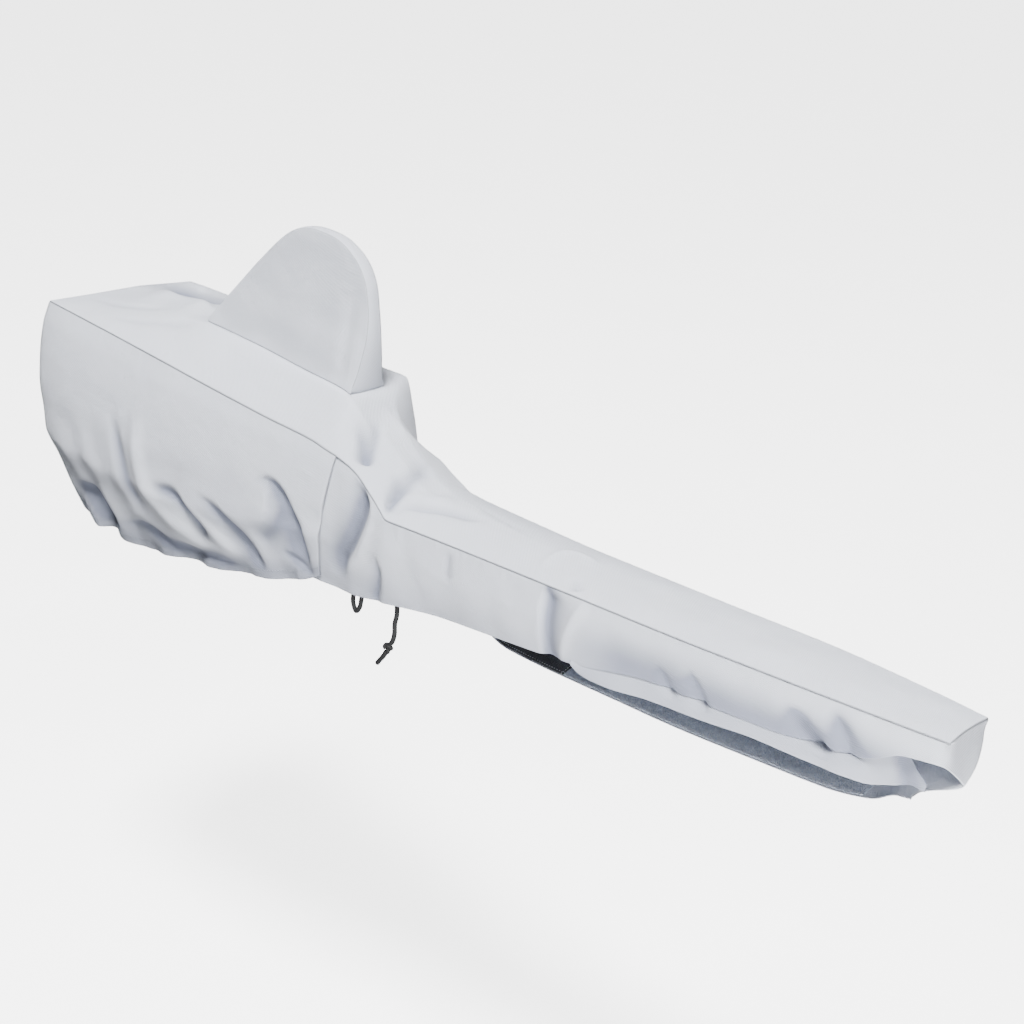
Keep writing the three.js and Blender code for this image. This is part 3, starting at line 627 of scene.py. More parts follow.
# The top panel's outer face at places x along it and y across it.
def topPoints(x, y):
    near = topAt("near", x)
    far = topAt("far", x)
    half = np.where(y < 0, near, far)
    seamZ = np.where(y < 0, topAt("nearZ", x), topAt("farZ", x))
    bend = np.where(y < 0, topAt("nearBend", x), topAt("farBend", x))
    strip = stripAt(x)
    beyond = np.clip((np.abs(y) - strip) / (half - strip), 0, 1)
    soft = topPanel["ridgeRound"]
    beyond = (np.sqrt(beyond**2 + soft**2) - soft) / (math.sqrt(1 + soft**2) - soft)
    stripZ = topAt("strip", x)
    underHump = (x > cover["humpRear"] - 15) & (x < cover["humpFront"] + 15)
    onStrip = underHump & (np.abs(y) < topPanel["stripHalf"] + 1)
    fade = np.where(onStrip, 0, np.minimum(1, (1 - np.abs(y) / half) * 5))
    z = stripZ - (stripZ - seamZ) * beyond**bend + fade * foldHeight(topPanel["folds"], x, y)
    return np.stack(np.broadcast_arrays(x, y, z), axis=-1)


def nearSeam(x):
    return topPoints(x, -topAt("near", x))


def farSeam(x):
    return topPoints(x, topAt("far", x))


# Painted shade in the groove of a seam: how dark the line is, at a distance from the seam.
def seamMark(away):
    return np.exp(-((away / 0.55) ** 2))


def makeTop():
    x = places(cover["rear"], cover["tip"])
    near = -topAt("near", x)
    far = topAt("far", x)
    share = np.linspace(0, 1, 55)[1:-1]
    edge = edgeSteps[-1]
    lines = []
    for a, b in zip(near, far):
        middle = a + edge + share * (b - a - 2 * edge)
        lines.append(np.concatenate((a + edgeSteps, middle, b - edgeSteps[::-1])))
    y = np.stack(lines)
    grid = topPoints(x[:, None], y)
    fromNear = y - near[:, None]
    fromFar = far[:, None] - y
    fromEnds = np.minimum(x - cover["rear"], cover["tip"] - x)[:, None]
    away = np.minimum(np.minimum(fromNear, fromFar), fromEnds)
    flat = ease(away, 0, 25)
    besideHump = ease(np.abs(y), 30, 45)
    pastHump = ease(cover["humpRear"] - x, 5, 25) + ease(x - cover["humpFront"], 5, 25)
    calm = flat * np.clip(besideHump + pastHump[:, None], 0, 1)
    grid[..., 2] += calm * swells(grid[..., 0], grid[..., 1], **topPanel["swell"])
    along = alongOf(nearSeam(x))[:, None]
    grid[..., 2] += puckers(along, fromNear, **topPanel["nearPucker"]) * ease(fromNear, 0, 2)
    grid[..., 2] += puckers(along, fromFar, **topPanel["farPucker"]) * ease(fromFar, 0, 2)
    grid[..., 2] -= turnedIn(np.minimum(fromNear, fromFar)) + turnedIn(np.broadcast_to(fromEnds, y.shape))
    holeRear = cover["humpRear"] + topPanel["holeInset"]
    holeFront = cover["humpFront"] - topPanel["holeInset"]
    middle = (y[:, :-1] + y[:, 1:]) / 2
    skip = (np.abs(middle) < topPanel["holeHalf"]) & ((x > holeRear) & (x < holeFront))[:, None]
    # Painted shade: darker in its folds, and on the far slopes that face away from the light, behind the hump
    # and along the far side after the neck.
    paintedShade = -foldHeight(topPanel["folds"], x[:, None], y) / topPanel["darkAt"]
    paintedShade = paintedShade + 0.35 * ease(y, 22, 42) * ease(-x, 335, 365)[:, None] * (1 - ease(y, 66, 84))
    paintedShade = paintedShade + 0.22 * ease(y, 14, 46) * (ease(x, 10, 50) * (1 - ease(x, 180, 330)))[:, None]
    piece = clothPiece("top_panel_cloth", grid, greyCloth, skip=skip, seam=seamMark(away), paintedShade=paintedShade)
    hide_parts("top_panel")
    return piece


# Head wall: its gathered hem on the three sides, how far it bellies out, and its folds.
headWall = {
    "hemRear": -488,
    "hemBack": 22,  # the hem's front ends lie this far behind the wall's top corners
    "frontReach": 80,  # over this length the hem runs out to them
    "darkAt": 5,  # a fold this deep is fully dark
    "height": 250,  # the length that its rows share out between seam and hem
    "gatherDepth": 3.5,
    "gatherPitch": 72,
    "swell": {"size": 64, "height": 1.0, "seed": 11},
    "seamPucker": {"height": 0.4, "size": 12, "seed": 12},
    "hemPucker": {"height": 0.5, "size": 26, "seed": 13, "reach": 22},
    "nearHem": columns(
        "x z belly",
        (-488, -131, 29),
        (-470, -137, 29),
        (-452, -143, 30),
        (-428, -140, 31),
        (-410, -146, 31),
        (-362, -145, 30),
        (-299, -135, 27),
        (-255, -131, 25),
        (-192, -121, 20),
        (-148, -112, 16),
        (-113, -101, 13),
        (-92, -90, 10),
    ),
    "farHem": columns(
        "x z belly",
        (-488, -134, 32),
        (-430, -144, 32),
        (-350, -138, 28),
        (-260, -133, 24),
        (-180, -118, 19),
        (-120, -103, 14),
        (-92, -90, 11),
    ),
    "rearHem": columns(
        "y z belly",
        (-90, -131, 33),
        (-40, -142, 41),
        (15, -137, 44),
        (65, -143, 42),
        (104, -134, 34),
    ),
    "belly": columns(
        "v out",
        (0, 0),
        (0.1, 0.36),
        (0.28, 0.72),
        (0.45, 0.89),
        (0.6, 0.91),
        (0.73, 0.62),
        (0.86, 0.34),
        (1, 0),
    ),
    "nearFolds": (
        (
            *(-9, 4.5, 21, 1.5),
            ((-172, -8), (-156, 1), (-147, 2), (-131, -9))
            + ((-119, -29), (-111, -43), (-110, -65), (-104, -95)),
        ),
        (-3.5, 12, 11, 2, ((-118, -20), (-145, -50), (-172, -74))),
        (-4, 4, 7, 1.5, ((-140, -71), (-118, -83), (-92, -96))),
        (-7, 6, 13, 1.7, ((-252, -36), (-222, -49), (-201, -64), (-186, -78), (-174, -94), (-158, -114))),
        (-7, 9, 10, 1.9, ((-326, -51), (-288, -50), (-267, -63), (-255, -80), (-246, -102))),
        (
            *(6, 14, 15, 2),
            ((-345, 44), (-342, 5), (-339, -25), (-330, -52))
            + ((-312, -78), (-267, -100), (-236, -110)),
        ),
        (-4.5, 11, 9, 2, ((-384, 24), (-377, -2), (-368, -34), (-357, -64), (-342, -94))),
        (3.5, 9, 10, 2, ((-288, -40), (-273, -48), (-234, -81), (-196, -107))),
        (
            *(-8, 6, 13, 1.6),
            ((-404, -124), (-356, -108), (-335, -113), (-317, -119))
            + ((-279, -118), (-234, -114), (-190, -118)),
        ),
        (-11, 7, 25, 1.8, ((-484, -96), (-455, -92), (-436, -95), (-424, -106), (-415, -120), (-408, -142))),
    ),
    "farFolds": (
        (-8, 8, 16, 1.7, ((-455, -46), (-425, -84), (-392, -118))),
        (5, 14, 14, 2, ((-362, -10), (-350, -60), (-326, -104))),
        (-7, 6, 15, 1.6, ((-296, -44), (-252, -66), (-212, -96))),
        (-7, 6, 14, 1.6, ((-170, 12), (-140, -22), (-124, -66))),
        (-4, 9, 9, 2, ((-400, 40), (-392, 0), (-384, -36))),
    ),
    "rearFolds": (
        (-7, 9, 15, 1.8, ((-54, 10), (-44, -50), (-28, -116))),
        (6, 12, 13, 2, ((20, -10), (14, -66), (8, -120))),
        (-8, 15, 8, 1.7, ((72, 10), (60, -52), (46, -108))),
        (-4, 8, 8, 1.8, ((-10, -70), (-18, -100), (-22, -128))),
    ),
}


def hemX(x):
    back = headWall["hemBack"] * ease(x, cover["headFront"] - headWall["frontReach"], cover["headFront"])
    inward = (headWall["hemRear"] - cover["rear"]) * (1 - ease(x, cover["rear"], cover["rear"] + 126))
    return x - back + inward


def alongSmoothed(values, reach):
    kernel = np.hanning(2 * reach + 3)[1:-1]
    kernel /= kernel.sum()
    padded = np.pad(values, ((reach, reach), (0, 0)), mode="edge")
    return np.stack([np.convolve(padded[:, k], kernel, mode="valid") for k in range(values.shape[1])], axis=1)


def headWallLines():
    sideX = places(cover["headFront"], cover["rear"])
    sideX = sideX[: -len(edgeSteps) + 1]
    sideX[-1] = cover["rear"]
    half = (topAt("near", cover["rear"]), topAt("far", cover["rear"]))
    rearY = np.linspace(-half[0], half[1], 66)[1:-1]
    parts = []
    for sign, table, seamOf in ((-1, headWall["nearHem"], nearSeam), (1, headWall["farHem"], farSeam)):
        seam = seamOf(sideX)
        at = hemX(sideX)
        corner = 1 - ease(sideX, cover["rear"], cover["rear"] + 56)
        outward = unit(np.stack((-0.75 * corner, np.full_like(sideX, sign), np.zeros_like(sideX)), axis=1))
        behindFront = 1 - ease(sideX, cover["headFront"] - headWall["frontReach"], cover["headFront"])
        drawn = 4 * behindFront - 1
        hem = np.stack((at, sign * (np.abs(seam[:, 1]) - drawn), read(table, "z", at)), axis=1)
        parts.append([seam, hem, outward, read(table, "belly", at)[:, None]])
    seam = topPoints(np.full_like(rearY, cover["rear"]), rearY)
    bow = 3 * (1 - (rearY / 100) ** 2)
    hemZ = read(headWall["rearHem"], "z", rearY, "y")
    hem = np.stack((headWall["hemRear"] - bow, rearY * 0.95, hemZ), axis=1)
    outward = unit(np.stack((np.full_like(rearY, -1), 0.35 * rearY**3 / 90**3, np.zeros_like(rearY)), axis=1))
    rear = [seam, hem, outward, read(headWall["rearHem"], "belly", rearY, "y")[:, None]]
    nearPart = parts[0]
    farPart = [a[::-1] for a in parts[1]]
    seam, hem, outward, belly = (np.concatenate((a, b, c)) for a, b, c in zip(nearPart, rear, farPart))
    outward = unit(alongSmoothed(outward, 9))
    belly = alongSmoothed(belly, 9)
    hem = alongSmoothed(hem, 3)
    count = len(sideX)
    isNear = np.zeros((len(seam), 1))
    isNear[:count] = 1
    isFar = np.zeros((len(seam), 1))
    isFar[-count:] = 1
    isNear = alongSmoothed(isNear, 6)
    isFar = alongSmoothed(isFar, 6)
    return seam, hem, outward, belly, isNear, isFar


def makeHeadWall():
    seam, hem, outward, belly, isNear, isFar = headWallLines()
    isRear = 1 - isNear - isFar
    start = underEdge(seam)
    along = alongOf(seam)[:, None]
    height = headWall["height"]
    down = places(0, height)
    v = (down / height)[None, :]
    base = start[:, None, :] * (1 - v[..., None]) + hem[:, None, :] * v[..., None]
    front = np.minimum(along, along[-1] - along)
    gathers = headWall["gatherDepth"] * ease(front, 10, 70)
    ripple = gathers * ease(v, 0.78, 1) * np.sin(2 * math.pi * along * 0.92 / headWall["gatherPitch"])
    folds = (
        isNear * foldHeight(headWall["nearFolds"], base[..., 0], base[..., 2])
        + isFar * foldHeight(headWall["farFolds"], base[..., 0], base[..., 2])
        + isRear * foldHeight(headWall["rearFolds"], base[..., 1], base[..., 2])
    )
    fade = ease(v, 0, 0.15) * (1 - 0.85 * ease(v, 0.88, 1))
    out = belly * read(headWall["belly"], "out", v, "v") + ripple + fade * folds
    out = out + ease(v, 0.2, 0.6) * swells(along, down[None, :], **headWall["swell"])
    out = out + puckers(along, down[None, :], **headWall["seamPucker"]) * ease(down, 0, 2)
    fromHem = height - down[None, :]
    out = out + puckers(along, fromHem, **headWall["hemPucker"])
    out = out - turnedIn(down)[None, :] - turnedIn(fromHem) - turnedIn(front)
    grid = base + outward[:, None, :] * out[..., None]
    away = np.minimum(down[None, :], front)
    # Painted shade: darker in its folds, over its lower half and most of all along the hem, where the cloth
    # turns down from the light.
    paintedShade = -fade * folds / headWall["darkAt"] + 0.16 * ease(v, 0.45, 0.8) + 0.5 * ease(v, 0.82, 0.95)
    seam = seamMark(np.broadcast_to(away, out.shape))
    piece = clothPiece("head_wall_cloth", grid, greyCloth, seam=seam, paintedShade=paintedShade)
    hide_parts("head_wall")
    return piece


# Sleeve wall: one strip along the near side, round the tip and back along the far side, whose edge is turned
# under.
sleeveWall = {
    "overlap": 15,  # how far it runs in behind the head wall
    "tuckBehind": 1.8,
    "bow": 5,
    "depth": 96,
    "neckLean": 26,
    "nearBelly": 9.5,  # how far the neck swells with the head wall
    "farBelly": 10.5,
    "tillerTurn": 10,  # how far the near edge turns in along the tiller
    "neckTurn": 8,  # and along the neck
    "nearDarkAt": 5,  # a fold this deep is fully dark
    "farDarkAt": 9,
    "turnUnder": 0.55,  # the share of the far side's cloth above its turned edge
    "swell": {"size": 55, "height": 0.7, "seed": 21},
    "pucker": {"height": 0.4, "size": 12, "seed": 22},
    "nearEdge": columns(
        "x z",
        (-104, -98),
        (-59, -97),
        (23, -86),
        (80, -81.5),
        (127, -78.3),
        (195, -73),
        (232, -69),
        (280, -59),
        (325, -54),
        (430, -53),
        (487, -50),
        (520, -47),
        (545, -36),
        (556, -29),
        (566, -25),
        (600, -21.5),
    ),
    "farEdge": columns(
        "x wallZ edgeZ under",
        (-104, -74, -97, 0),
        (-40, -72, -95, 0),
        (40, -68, -89, 4),
        (100, -70, -100, 60),
        (140, -72, -101, 68),
        (300, -72, -101, 65),
        (420, -70, -97, 64),
        (490, -66, -92, 62),
        (535, -60, -83, 58),
        (560, -55, -71, 53),
        (578, -55, -70, 47),
        (590, -55, -69, 36),
        (600, -54, -67, 13),
    ),
    "nearFolds": (
        (-8, 8, 19, 1.8, ((-27, 46), (-29, 18), (-31, -8), (-42, -38), (-54, -60), (-62, -88))),
        (2.4, 6, 5, 1.5, ((-20, 44), (-20, 22), (-19, -6), (-32, -47), (-46, -66), (-54, -84))),
        (-4, 6, 10, 1.6, ((-12, -36), (-5, -58), (-10, -84), (-14, -100))),
        (-2, 5, 5, 1.6, ((85, -2), (85, -38))),
        (-7, 18, 4.5, 1.5, ((205, 26), (206, 2), (207, -36), (206, -74), (206, -96))),
        (2.8, 8, 6, 1.4, ((262, 24), (250, 4), (237, -25), (226, -62), (219, -86))),
        (-5, 5, 9, 1.4, ((329, -34), (338, -46), (348, -62), (354, -72))),
        (-6, 4, 13, 1.3, ((364, -22), (371, -36), (377, -52), (384, -72))),
        (-10, 7, 17, 1.3, ((456, -18), (474, -32), (490, -50), (502, -72))),
        (-7, 12, 10, 1.4, ((497, -6), (506, -18), (512, -34), (518, -60))),
    ),
    "farFolds": (
        (-4, 9, 11, 2, ((-10, 5), (-20, -28), (-34, -62))),
        (-5, 6, 13, 1.6, ((152, -4), (146, -34), (138, -64))),
        (3, 10, 9, 1.6, ((290, -4), (300, -30), (312, -62))),
        (-4, 8, 9, 1.8, ((438, -6), (446, -30), (454, -54))),
    ),
}


def clearOfHead(x):
    return ease(x, cover["headFront"] - 2, cover["headFront"] + 26)


def bowAt(x):
    return sleeveWall["bow"] * clearOfHead(x) * (1 - 0.8 * ease(x, cover["tip"] - 50, cover["tip"]))


def leanBack(x, down):
    return ease(x, cover["tip"] - 60, cover["tip"]) * (0.03 * down + 4 * (down / 60) ** 5)


# Next to the head the neck swells as the head wall does, just inside it.
def besideHead(x, down, belly):
    fade = 1 - ease(x, cover["headFront"] - 2, -18)
    return belly * read(headWall["belly"], "out", down / 138, "v") * fade


# How far the near wall stands out from its seam, at places along it and at heights.
def nearSleeveOut(x, z, seamZ, folded=1.0):
    tuck = sleeveWall["tuckBehind"] * (1 - clearOfHead(x))
    share = np.clip((seamZ - z) / (seamZ + sleeveWall["depth"]), 0, 1)
    bow = bowAt(x) * np.sin(math.pi * share) + besideHead(x, seamZ - z, sleeveWall["nearBelly"])
    fade = ease(seamZ - z, 0, 12)
    turned = sleeveWall["tillerTurn"] * ease(-z, 10, 56) * ease(x, 240, 320) * (1 - ease(x, 535, 590))
    turned = turned + sleeveWall["neckTurn"] * ease(-z, 30, 88) * ease(x, 0, 80) * (1 - ease(x, 220, 300))
    return bow - tuck - turned + folded * fade * foldHeight(sleeveWall["nearFolds"], x, z)


def sleeveLean(x):
    return -sleeveWall["neckLean"] * (1 - ease(x, cover["headFront"] - sleeveWall["overlap"], -10))


def nearSleeve(seam, outward, v):
    x = seam[:, :1]
    lean = sleeveLean(x)
    edge = read(sleeveWall["nearEdge"], "z", x + lean)
    z = seam[:, 2:] + (edge - seam[:, 2:]) * v
    leaned = x + lean * v - leanBack(x, seam[:, 2:] - z)
    points = np.stack(np.broadcast_arrays(leaned, seam[:, 1:2], z), axis=-1)
    out = nearSleeveOut(x + lean * v, z, seam[:, 2:])
    return points + outward[:, None, :] * out[..., None]


def farSleeve(seam, outward, v):
    x = seam[:, :1]
    lean = sleeveLean(x)
    wallZ = read(sleeveWall["farEdge"], "wallZ", x)
    edgeZ = read(sleeveWall["farEdge"], "edgeZ", x)
    under = read(sleeveWall["farEdge"], "under", x)
    tuck = sleeveWall["tuckBehind"] * (1 - clearOfHead(x))
    turn = sleeveWall["turnUnder"]
    down = np.minimum(1, v / turn)
    turned = np.maximum(0, v - turn) / (1 - turn)
    bend = turned * math.pi / 2
    z = seam[:, 2:] + (wallZ - seam[:, 2:]) * down
    z = z + (edgeZ - wallZ) * (0.35 * np.sin(bend) + 0.65 * turned**1.4)
    leaned = x + lean * v - leanBack(x, seam[:, 2:] - z)
    points = np.stack(np.broadcast_arrays(leaned, seam[:, 1:2], z), axis=-1)
    bow = bowAt(x) * np.sin(math.pi * np.minimum(1, v / (turn + 0.2)))
    bow = bow + besideHead(x, seam[:, 2:] - z, sleeveWall["farBelly"])
    fade = ease(seam[:, 2:] - z, 0, 12)
    out = bow - tuck - under * (1 - np.cos(bend)) + fade * foldHeight(sleeveWall["farFolds"], x, z)
    return points + outward[:, None, :] * out[..., None]


def tuckedSeam(seamOf, x):
    seam = seamOf(np.maximum(x, cover["headFront"] + 0.01))
    seam[:, 0] = x
    line = underEdge(seamOf(np.maximum(x, cover["headFront"])))
    behind = x < cover["headFront"]
    line[behind] = seamOf(np.array([cover["headFront"]]))[0] - (0, 0, 2.4)
    line[behind, 0] = x[behind]
    return line


def makeSleeve():
    x = places(cover["headFront"] - sleeveWall["overlap"], cover["tip"], 2.6)[:-5]
    x[-1] = cover["tip"]
    v = places(0, 100, 2.4)[None, :] / 100
    corner = (ease(x, cover["tip"] - 30, cover["tip"]) * 0.6)[:, None]
    farOut = unit(np.concatenate((corner, np.ones_like(corner), np.zeros_like(corner)), axis=1))
    nearOut = farOut * (1, -1, 1)
    farGrid = farSleeve(tuckedSeam(farSeam, x), farOut, v)
    nearGrid = nearSleeve(tuckedSeam(nearSeam, x), nearOut, v)
    nearTip = topAt("near", cover["tip"])
    farTip = topAt("far", cover["tip"])
    tipY = np.linspace(farTip, -nearTip, 26)[1:-1]
    seam = topPoints(np.full_like(tipY, cover["tip"]), tipY) - (0, 0, cover["seamDrop"])
    share = ((tipY + nearTip) / (nearTip + farTip))[:, None]
    outward = unit(np.concatenate((np.ones_like(share), 0.2 * (2 * share - 1), np.zeros_like(share)), axis=1))
    nearZ = read(sleeveWall["nearEdge"], "z", cover["tip"])
    farZ = read(sleeveWall["farEdge"], "edgeZ", cover["tip"])
    edge = nearZ * (1 - share) + farZ * share
    z = seam[:, 2:] + (edge - seam[:, 2:]) * v
    points = np.stack(np.broadcast_arrays(seam[:, :1], seam[:, 1:2], z), axis=-1)
    out = 0.6 * np.sin(math.pi * v) - leanBack(cover["tip"], seam[:, 2:] - z)
    tipGrid = points + outward[:, None, :] * out[..., None]
    lean = sleeveLean(x)[:, None] * v
    # Painted shade: darker in its folds and towards its lower edge, which turns down and away from the light,
    # most of all along the tiller.
    nearFolds = foldHeight(sleeveWall["nearFolds"], x[:, None] + lean, nearGrid[..., 2])
    farFolds = foldHeight(sleeveWall["farFolds"], x[:, None], farGrid[..., 2])
    onTiller = ease(x, 210, 300) * (1 - ease(x, 560, 600))
    nearPaintedShade = -nearFolds / sleeveWall["nearDarkAt"]
    nearPaintedShade = nearPaintedShade + 0.95 * ease(-nearGrid[..., 2], 8, 46) * onTiller[:, None]
    nearPaintedShade = nearPaintedShade + 0.4 * ease(-nearGrid[..., 2], 45, 95) * (1 - ease(x, 180, 260))[:, None]
    farPaintedShade = -farFolds / sleeveWall["farDarkAt"] + 0.2 * ease(v, 0.3, 0.6)
    paintedShade = np.concatenate((farPaintedShade, np.zeros(tipGrid.shape[:2]), nearPaintedShade[::-1]))
    grid = np.concatenate((farGrid, tipGrid, nearGrid[::-1]))
    # The strip has no seam at the tip: it turns each corner in a soft round, tighter next to the top seam.
    index = np.arange(grid.shape[0])
    corners = (len(farGrid) - 0.5, len(farGrid) + len(tipGrid) - 0.5)
    near = sum(share * np.exp(-(((index - corner) / 4) ** 2)) for corner, share in zip(corners, (0.25, 0.9)))
    weight = near[:, None, None] * ease(v[0], 0, 0.15)[None, :, None]
    for _ in range(14):
        middle = grid.copy()
        middle[1:-1] = (grid[:-2] + grid[2:]) / 2
        grid += (middle - grid) * weight * 0.6
    seam = grid[:, 0]
    along = alongOf(seam)[:, None]
    reach = rowRuns(grid)
    total = reach[:, -1:]
    normal = unit(np.cross(np.gradient(grid, axis=0), np.gradient(grid, axis=1)))
    calm = ease(reach, 4, 20) * ease(total - reach, 2, 12)
    bump = calm * swells(along, reach, **sleeveWall["swell"])
    bump = bump + puckers(along, reach, **sleeveWall["pucker"]) * ease(reach, 0, 2)
    bump = bump - turnedIn(reach) - turnedIn(total - reach, 1.0)
    grid = grid + normal * bump[..., None]
    piece = clothPiece("sleeve_wall_cloth", grid, greyCloth, seam=seamMark(reach), paintedShade=paintedShade)
    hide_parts("sleeve_wall")
    return piece


# Closure flap: the loose strip along the near edge.
closureFlap = {
    "start": 238,
    "end": 585,
    "inset": 3.8,  # behind the near wall's face
    "curl": 6,
    "darkAt": 6,  # a fold this deep is fully dark
    "edges": columns(
        "x top bottom",
        (238, -56, -67.5),
        (247, -54, -72.5),
        (260, -50, -74.5),
        (280, -46, -75),
        (330, -41, -71),
        (377, -41, -69),
        (433, -40, -65),
        (487, -37, -66),
        (530, -26, -66),
        (556, -16, -57),
        (566, -24, -53),
        (576, -36, -50),
        (585, -44, -50),
    ),
    "folds": ((-4.5, 15, 7, 1.7, ((548, -2), (558, -24), (566, -44), (572, -66))),),
}


def makeFlap():
    x = places(closureFlap["start"], closureFlap["end"])
    share = places(0, 30, 2.5)[None, :] / 30
    top = read(closureFlap["edges"], "top", x)[:, None]
    bottom = read(closureFlap["edges"], "bottom", x)[:, None]
    half = topAt("near", x)[:, None]
    z = top + (bottom - top) * share
    curl = closureFlap["curl"] * ease(-z, -top, -bottom) * (1 - 0.8 * ease(x, 500, 560))[:, None]
    folded = 1 - 0.85 * ease(read(sleeveWall["nearEdge"], "z", x)[:, None] - z, 1, 9)
    folds = foldHeight(closureFlap["folds"], x[:, None], z)
    behind = half - closureFlap["inset"]
    y = -(behind + nearSleeveOut(x[:, None], z, -cover["seamDrop"], folded) + curl + folds)
    grid = np.stack(np.broadcast_arrays(x[:, None], y, z), axis=-1)[::-1]
    # Painted shade: the whole flap is darker, as it hangs in the near wall's shade, darker still in its
    # folds, with a painted shadow of the wall's edge along its top.
    paintedShade = 0.5 - folds / closureFlap["darkAt"] + 0.3 * (1 - ease(share, 0, 0.25))
    piece = clothPiece("closure_flap_cloth", grid, greyCloth, paintedShade=paintedShade[::-1])
    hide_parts("closure_flap")
    return piece


# Hook and loop tapes, sewn on the far edge's inner face.
tapeSizes = {"width": 24, "thickness": 0.9, "above": 2.6, "fromEdge": 0.6}


def makeTape(name, node, startX, endX, material):
    x = places(startX, endX, 2.0)
    seam = farSeam(x) - (0, 0, cover["seamDrop"])
    wall = farSleeve(seam, np.repeat([[0.0, 1.0, 0.0]], len(x), axis=0), np.linspace(0, 1, 160)[None, :])
    lines = []
    for column in wall:
        y = column[-1, 1] + tapeSizes["fromEdge"] + places(0, tapeSizes["width"], 1.5)
        low = column[column[:, 2] < -60][::-1]
        z = np.interp(y, low[:, 1], low[:, 2]) + tapeSizes["above"]
        lines.append(np.stack((np.full_like(y, column[0, 0]), y, z), axis=1))
    grid = np.array(lines)
    piece = clothPiece(name, grid, material, thick=tapeSizes["thickness"])
    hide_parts(node)
    return piece


# Hump: the outline of its two faces, and half its width at heights above the top panel.
hump = {
    "puff": 3,
    "crease": 2.5,
    "creaseX": -104,  # where the crease crosses the height of creaseZ
    "creaseZ": 190,
    "creaseLean": 0.12,
    "swell": {"size": 60, "height": 0.6, "seed": 31},
    "outline": [
        (-323, 0, 123),
        (-294, 0, 156),
        (-255, 0, 196),
        (-214, 0, 230),
        (-198, 0, 239),
        (-176, 0, 245),
        (-151, 0, 245),
        (-126, 0, 240),
        (-102, 0, 225),
        (-90, 0, 207),
        (-85, 0, 183),
        (-84, 0, 155),
        (-87, 0, 130),
        (-92, 0, 103),
    ],
    "width": columns(
        "up half",
        (0, 23),
        (20, 17.5),
        (37, 14.5),
        (65, 10),
        (95, 8),
        (130, 8),
        (152, 7),
    ),
}
humpCurve = throughPoints(hump["outline"], 121)


def humpHalf(p):
    return read(hump["width"], "half", p[..., 2] - topAt("strip", p[..., 0]), "up")


def makeHumpFace(name, node, sign):
    t = np.linspace(0, 1, len(humpCurve))
    baseX = cover["humpRear"] + 2 + (cover["humpFront"] - cover["humpRear"] - 4) * t
    base = np.stack((baseX, np.zeros_like(t), topAt("strip", baseX) + 0.5), axis=1)
    height = np.linalg.norm(humpCurve - base, axis=1)[:, None]
    share = places(0, 120, 3.0)[None, :] / 120
    points = base[:, None, :] * (1 - share[..., None]) + humpCurve[:, None, :] * share[..., None]
    puff = hump["puff"] * np.sin(math.pi * share) * np.sin(math.pi * t)[:, None]
    fromCrease = points[..., 0] - hump["creaseX"] - (points[..., 2] - hump["creaseZ"]) * hump["creaseLean"]
    bend = hump["crease"] * np.exp(-((fromCrease / 10) ** 2)) * np.sin(math.pi * share)
    fromTop = height * (1 - share)
    fromBase = height * share
    calm = ease(fromTop, 2, 15) * ease(fromBase, 2, 15)
    wave = swells(points[..., 0], points[..., 2], **hump["swell"]) * calm
    turned = turnedIn(fromTop) + turnedIn(fromBase, 1.0)
    points[..., 1] = sign * (humpHalf(points) + puff - bend + wave - turned)
    grid = points if sign < 0 else points[::-1]
    away = np.minimum(fromTop, fromBase)
    piece = clothPiece(name, grid, greyCloth, seam=seamMark(away if sign < 0 else away[::-1]))
    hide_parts(node)
    return piece


def makeGusset():
    footX = cover["humpFront"] - 2.5
    foot = (footX, 0, topAt("strip", footX) + 0.6)
    curve = throughPoints(np.concatenate((humpCurve[::5], [foot])), 150)
    run = unit(np.gradient(curve, axis=0))
    outward = np.stack((-run[:, 2], np.zeros(len(run)), run[:, 0]), axis=1)
    half = (humpHalf(curve) - 0.3)[:, None]
    steps = np.concatenate((edgeSteps, np.linspace(2, 10, 6)[1:]))
    share = np.concatenate((steps / 10 - 1, (1 - steps / 10)[::-1][1:]))[None, :]
    away = (1 - np.abs(share)) * half
    lift = 1.2 * (1 - share**2) - turnedIn(away)
    grid = curve[:, None, :] + outward[:, None, :] * lift[..., None]
    grid[..., 1] = share * half
    piece = clothPiece("hump_gusset_cloth", grid, greyCloth, seam=seamMark(away))
    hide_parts("hump_gusset")
    return piece


cloths = [
    makeTop(),
    makeHeadWall(),
    makeSleeve(),
    makeFlap(),
    makeHumpFace("hump_near_cloth", "hump_near", -1),
    makeHumpFace("hump_far_cloth", "hump_far", 1),
    makeGusset(),
]
for piece in cloths:
    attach(piece, "root")
print("cloth panels", len(cloths))

hook = makeTape("hook_tape_strip", "hook_tape", 112, 207, blackTape)
loop = makeTape("loop_tape_strip", "loop_tape", 207.5, 528, greyTape)
for piece, slotName in ((hook, "black_tape"), (loop, "grey_tape")):
    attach(piece, "root")
print("tapes")


# Stitching and pile, grown by Geometry Nodes. The thread is about 0.4 mm thick and is drawn wider to show.
# The pile's sizes are in metres and its density is per square metre.
stitchSizes = {
    "hem": {"inset": 12, "spacing": 3.4, "length": 2.2, "width": 0.75},
    "tape": {"inset": 2.2, "spacing": 3.0, "length": 2.0, "width": 0.7},
}
pileSizes = {
    "loop_tape_strip": {"density": 1.3e6, "height": 0.0011, "width": 0.0004, "seed": 4},
    "hook_tape_strip": {"density": 0.9e6, "height": 0.0007, "width": 0.00025, "seed": 9},
}


